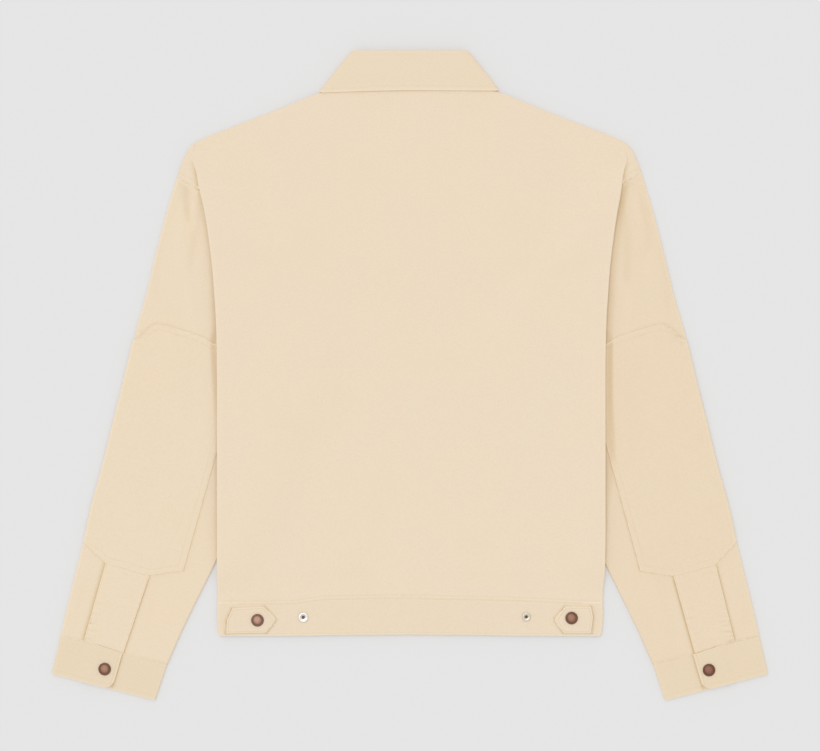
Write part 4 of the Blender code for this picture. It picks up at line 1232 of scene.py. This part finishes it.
def make_stitches(name, ends, finish, seed):
    """One mesh of small sunk threads, each between two ends."""
    ends = np.array(ends)
    rng = np.random.default_rng(seed)
    middle = ends.mean(axis=1)
    way = ends[:, 1] - ends[:, 0]
    size = np.linalg.norm(way, axis=1) / 2
    way /= np.linalg.norm(way, axis=1)[:, None]
    side = np.stack((-way[:, 1], way[:, 0], np.zeros(len(way))), axis=1)
    side /= np.linalg.norm(side, axis=1)[:, None]
    up = np.cross(way, side)
    size *= rng.uniform(0.9, 1.05, len(size))
    girth = rng.uniform(0.88, 1.1, len(size))
    points = []
    sides = 5
    for reach, wide in STITCH_SHAPE:
        for k in range(sides if wide else 1):
            angle = 2 * math.pi * k / sides
            points.append(middle + way * (size * reach)[:, None]
                          + side * (girth * wide * math.cos(angle) * STITCH_WIDTH / 2)[:, None]
                          + up * (girth * wide * math.sin(angle) * STITCH_HEIGHT / 2)[:, None])
    points = np.stack(points, axis=1)
    count = points.shape[1]
    faces = [(0, 1 + (k + 1) % sides, 1 + k) for k in range(sides)]
    for ring in range(2):
        a = 1 + ring * sides
        for k in range(sides):
            n = (k + 1) % sides
            faces.append((a + k, a + n, a + sides + n, a + sides + k))
    last = count - 1
    faces += [(last, last - sides + k, last - sides + (k + 1) % sides) for k in range(sides)]
    every = [tuple(v + block * count for v in face) for block in range(len(ends))
             for face in faces]
    piece = mesh_piece(name, points.reshape(-1, 3), every, finish)
    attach(piece, "root")


def sew(finish):
    """Rows of stitches, on each piece that has them."""
    groups = {"back": [], "waistband": []}
    for side, sign in SIDES:
        seam = mirrored(ARMHOLE_UPPER[side], sign)
        groups["back"] += stitch_ends(
            "back", [(seam, sign * gap) for gap in STITCH_ROWS],
            lambda x, d, gap: (np.abs(x) > fold_at(d, x) + 1.5)
            & (np.abs(x) < read(OUTLINE, d) - 2.0))
    for part, lift, from_above in (("back", 0.0, True), ("left", -0.2, False),
                                   ("right", -0.2, False)):
        groups["waistband"] += stitch_ends(
            f"waistband_{part}", [(WAIST_LINE, -3.7), (HEM_LINE, BAND_STITCHES[1])],
            lambda x, d, gap: np.abs(x) < 229.0, lift, from_above)
    for side, sign in SIDES:
        def on_patch(x, d, gap):
            x = np.abs(x)
            clear = patch_gap(x, d, side) > gap - 0.2
            return clear & (x < read(OUTLINE, d) - 2.4 - 1.6 * gap) & (x > 205.0)

        def on_cuff(x, d, gap):
            return (near(CUFF_SEAM, np.abs(x), d)[0] > gap - 0.4) | (gap < 2.0)

        def on_tab(x, d, gap):
            return near(outline, x, d)[0] > gap - 0.2

        def rows(*lines):
            return [(mirrored(line, sign), sign * gap) for line, gap in lines]
        outline = TABS[side][:5]
        ends = stitch_ends(f"elbow_patch_{side}", rows(
            *[(line, way * gap) for gap in STITCH_ROWS for line, way in (
                (PATCH_TOP, -1), (PATCH_INNER[side], 1), (PATCH_FOOT[side], 1))]), on_patch)
        ends += stitch_ends(f"sleeve_placket_{side}", rows(
            (PLACKET_INNER[side], 1.6), (PLACKET_OUTER[side], -1.6)))
        ends += stitch_ends(f"cuff_{side}", rows(
            (CUFF_SEAM, -1.6), (CUFF_EDGE, 6.0), (lap_line(side), LAP_STITCHES)), on_cuff, CUFF / 2)
        groups[f"sleeve_{side}"] = ends
        groups["waistband"] += stitch_ends(f"waist_tab_{side}", [(outline, -sign * 2.4)], on_tab)
    for seed, (name, ends) in enumerate(groups.items(), 90):
        make_stitches(f"stitches_{name}", ends, finish, seed)


# Materials.

CREAM, WHITE = (0.916, 0.782, 0.611), (1.0, 1.0, 1.0)


def fill(tree, made, **settings):
    """Set a node; a capital marks an input, and a socket that is given for one is linked."""
    for name, value in settings.items():
        if name[0].islower():
            setattr(made, name, value)
        elif isinstance(value, bpy.types.NodeSocket):
            tree.links.new(value, made.inputs[name.replace("_", " ")])
        else:
            made.inputs[name.replace("_", " ")].default_value = value
    return made


def node(tree, kind, **settings):
    return fill(tree, tree.nodes.new(f"ShaderNode{kind}"), **settings)


def new_finish(name):
    made = bpy.data.materials.new(name)
    made.use_nodes = True
    return made, made.node_tree, made.node_tree.nodes["Principled BSDF"]


def noise(tree, at, scale, detail, rough=0.5):
    made = node(tree, "TexNoise", Vector=at, Scale=scale, Detail=detail, Roughness=rough)
    return made.outputs["Fac"]


def remap(tree, source, **limits):
    return node(tree, "MapRange", Value=source, **limits).outputs["Result"]


def worn_and_lit_share(tree):
    """The mesh's wear and painted light, from 0 to 1."""
    return remap(tree, node(tree, "Attribute", attribute_name="wear_and_painted_light").outputs["Fac"],
                 From_Min=-1.0)


def ramp(tree, source, *stops):
    """Colours between stops, each a place and a colour."""
    made = node(tree, "ValToRGB", Fac=source)
    for element, (place, colour) in zip(made.color_ramp.elements, (stops[0], stops[-1])):
        element.position = place
        element.color = (*colour, 1.0)
    for place, colour in stops[1:-1]:
        made.color_ramp.elements.new(place).color = (*colour, 1.0)
    return made.outputs["Color"]


def bumps(tree, *rows):
    """The normal of several reliefs, each a height, a distance in metres and a strength."""
    linked = {}
    for height, distance, strength in rows:
        made = node(tree, "Bump", Height=height, Distance=distance, Strength=strength, **linked)
        linked = {"Normal": made.outputs["Normal"]}
    return linked["Normal"]


def twill(name, tone=WHITE, grain=0.0):
    """Cream cotton twill: diagonal ribs, uneven threads, faint colour variation, soft nap and the
    mesh's painted light and shade.
    """
    made, tree, shader = new_finish(name)
    place = node(tree, "TexCoord").outputs["Object"]
    at = node(tree, "Mapping", Vector=place, Rotation=(0.0, 0.0, grain)).outputs["Vector"]
    ribs = node(tree, "TexWave", wave_type="BANDS", bands_direction="DIAGONAL", Vector=at,
                Scale=560.0, Distortion=0.6, Detail=1.0, Detail_Scale=3.0).outputs["Fac"]
    drawn_out = node(tree, "Mapping", Vector=at, Scale=(1.0, 0.06, 1.0)).outputs["Vector"]
    threads = noise(tree, drawn_out, 900.0, 2.0)
    base = [part * share for part, share in zip(CREAM, tone)]
    warm = [part * share for part, share in zip(base, (1.005, 0.988, 0.965))]
    colour = ramp(tree, noise(tree, at, 9.0, 4.0, 0.6), (0.3, warm), (0.7, base))
    # The last ramp darkens the cloth to a warm painted shade and pales it to a painted highlight,
    # by the mesh's wear and painted light.
    for source, stops in (
            (noise(tree, at, 430.0, 2.0, 0.6), ((0.3, (0.968, 0.963, 0.952)), (0.62, WHITE))),
            (ribs, ((0.1, (0.965, 0.96, 0.95)), (0.9, WHITE))),
            (worn_and_lit_share(tree), ((0.0, (0.80, 0.74, 0.62)), (0.5, (0.945, 0.94, 0.93)),
                                (1.0, WHITE)))):
        colour = node(tree, "Mix", data_type="RGBA", blend_type="MULTIPLY", Factor=1.0, A=colour,
                      B=ramp(tree, source, *stops)).outputs["Result"]
    fill(tree, shader, Base_Color=colour, Roughness=remap(tree, threads, To_Min=0.82, To_Max=0.96),
         Specular_IOR_Level=0.25, Sheen_Weight=0.12, Sheen_Roughness=0.5,
         Sheen_Tint=(1.0, 0.95, 0.86, 1.0),
         Normal=bumps(tree, (ribs, 0.00012, 0.35), (threads, 0.00010, 0.3),
                      (noise(tree, at, 1400.0, 3.0), 0.00006, 0.3)))
    return made


def metal(name, light, dark, roughness, metallic=1.0):
    """Plated metal with uneven tarnish, fine scratches and the profile's painted highlight and
    shade.
    """
    made, tree, shader = new_finish(name)
    at = node(tree, "TexCoord").outputs["Object"]
    spots = noise(tree, at, 480.0, 4.0, 0.65)
    # The tarnish is mixed with the profile's painted highlight and shade.
    tarnish_and_painted_light = node(tree, "Mix", data_type="FLOAT", Factor=0.3, A=worn_and_lit_share(tree), B=spots)
    rough = remap(tree, spots, To_Min=roughness - 0.08, To_Max=roughness + 0.12)
    fill(tree, shader, Metallic=metallic, Roughness=rough,
         Base_Color=ramp(tree, tarnish_and_painted_light.outputs["Result"], (0.15, dark), (0.85, light)),
         Normal=bumps(tree, (noise(tree, at, 3600.0, 2.0), 0.00003, 0.3)))
    return made


SNAP_COLOURS = {
    "waist_left": (0.49, 0.304, 0.22), "waist_right": (0.364, 0.20, 0.129),
    "cuff_left": (0.377, 0.218, 0.143), "cuff_right": (0.296, 0.147, 0.094),
}

# Floor, light and camera.

PIXEL = 1.2             # millimetres to a pixel of the 820 x 751 frame
FRAME_WIDTH = 820
CAMERA_HEIGHT = 3.6
SKY = 0.82              # soft light from all round
KEY = 0.634             # soft light from the upper left
KEY_SPREAD = 40.0
KEY_FROM = (-0.35, 0.5, 1.5)
FLOOR_ALBEDO, FLOOR_GLOW = 0.52, 0.265      # a pale floor, and glow painted into it that lightens the shadows round the cloth
FLOOR_REACH, FLOOR_LEVEL = 6.0, -0.0001     # metres; just under the cloth
SENSOR, CLOTH_MIDDLE = 36.0, 0.005          # the camera's, in mm; height of the focus, in metres


def make_stage():
    mesh = bpy.data.meshes.new("floor")
    mesh.from_pydata([(FLOOR_REACH * across, FLOOR_REACH * up, FLOOR_LEVEL) for across, up in
                      ((-1, -1), (1, -1), (1, 1), (-1, 1))], [], [(0, 1, 2, 3)])
    floor = new_object("floor", mesh)
    pale, tree, shader = new_finish("floor_pale")
    # The floor's glow is painted light: it lightens the shadows that the cloth casts.
    fill(tree, shader, Base_Color=(FLOOR_ALBEDO,) * 3 + (1.0,), Emission_Color=(*WHITE, 1.0),
         Emission_Strength=FLOOR_GLOW, Roughness=0.95, Specular_IOR_Level=0.0)
    mesh.materials.append(pale)

    world_light = bpy.data.worlds.new("studio")
    world_light.use_nodes = True
    sky = world_light.node_tree.nodes["Background"]
    sky.inputs["Color"].default_value = (*WHITE, 1.0)
    sky.inputs["Strength"].default_value = SKY
    bpy.context.scene.world = world_light
    lamp = bpy.data.lights.new("key", "SUN")
    lamp.energy = KEY
    lamp.angle = math.radians(KEY_SPREAD)
    lamp.color = WHITE
    key = new_object("key", lamp)
    key.rotation_euler = Vector(KEY_FROM).to_track_quat("Z", "Y").to_euler()

    lens = bpy.data.cameras.new("camera")
    lens.sensor_width = SENSOR
    lens.lens = SENSOR * (CAMERA_HEIGHT - CLOTH_MIDDLE) / (FRAME_WIDTH * PIXEL * MM)
    lens.clip_end = 50.0
    camera = new_object("camera", lens)
    camera.location = (0.0, 0.0, CAMERA_HEIGHT)
    bpy.context.scene.camera = camera
    bpy.context.scene.view_settings.view_transform = "Standard"


def main():
    cloth = {
        "body": twill("twill_body"), "band": twill("twill_band", (0.985, 0.985, 0.975)),
        "collar": twill("twill_collar", (0.99, 0.985, 0.97)),
        "left": twill("twill_sleeve_left", (1.0, 0.995, 0.98), math.radians(-14)),
        # The right sleeve's tone is darker than the left's: painted shade of the side away from the
        # key light.
        "right": twill("twill_sleeve_right", (0.983, 0.965, 0.936), math.radians(14)),
        "cuff_left": twill("twill_cuff_left", (0.965, 0.957, 0.925), math.radians(-14)),
        "cuff_right": twill("twill_cuff_right", (0.965, 0.955, 0.921), math.radians(14)),
        "thread": twill("twill_thread", (1.02, 1.02, 1.0)),
    }
    body_panel("back", BACK_NECK, None, None, back_height, 1, body_relief, cloth["body"],
               ("front_left", "front_right"), body_wear_and_painted_light)
    for side, sign, ends in (("left", -1, (None, FRONT_LAP)), ("right", 1, (-FRONT_LAP, None))):
        body_panel(f"front_{side}", FRONT_NECK, *ends,
                   lambda x, d, sign=sign: front_height(x, d, sign), -1, front_relief,
                   cloth["body"])
    make_waistband(cloth["band"])
    make_collar(cloth["collar"])
    for side in SIGN:
        make_sleeve(side, cloth[side])
        make_patch(side, cloth[side])
        make_placket(side, cloth[side])
        make_cuff(side, cloth[f"cuff_{side}"])
        make_tab(side, cloth["band"])
    copper = {name: metal(f"copper_{name}", light, (0.13, 0.055, 0.04), 0.42, 0.85)
              for name, light in SNAP_COLOURS.items()}
    steel = {"left": metal("nickel", (0.93, 0.91, 0.87), (0.16, 0.07, 0.03), 0.25),
             "right": metal("dark_nickel", (0.74, 0.69, 0.60), (0.10, 0.05, 0.02), 0.35)}
    make_trims(copper, steel)
    sew(cloth["thread"])
    make_stage()


main()
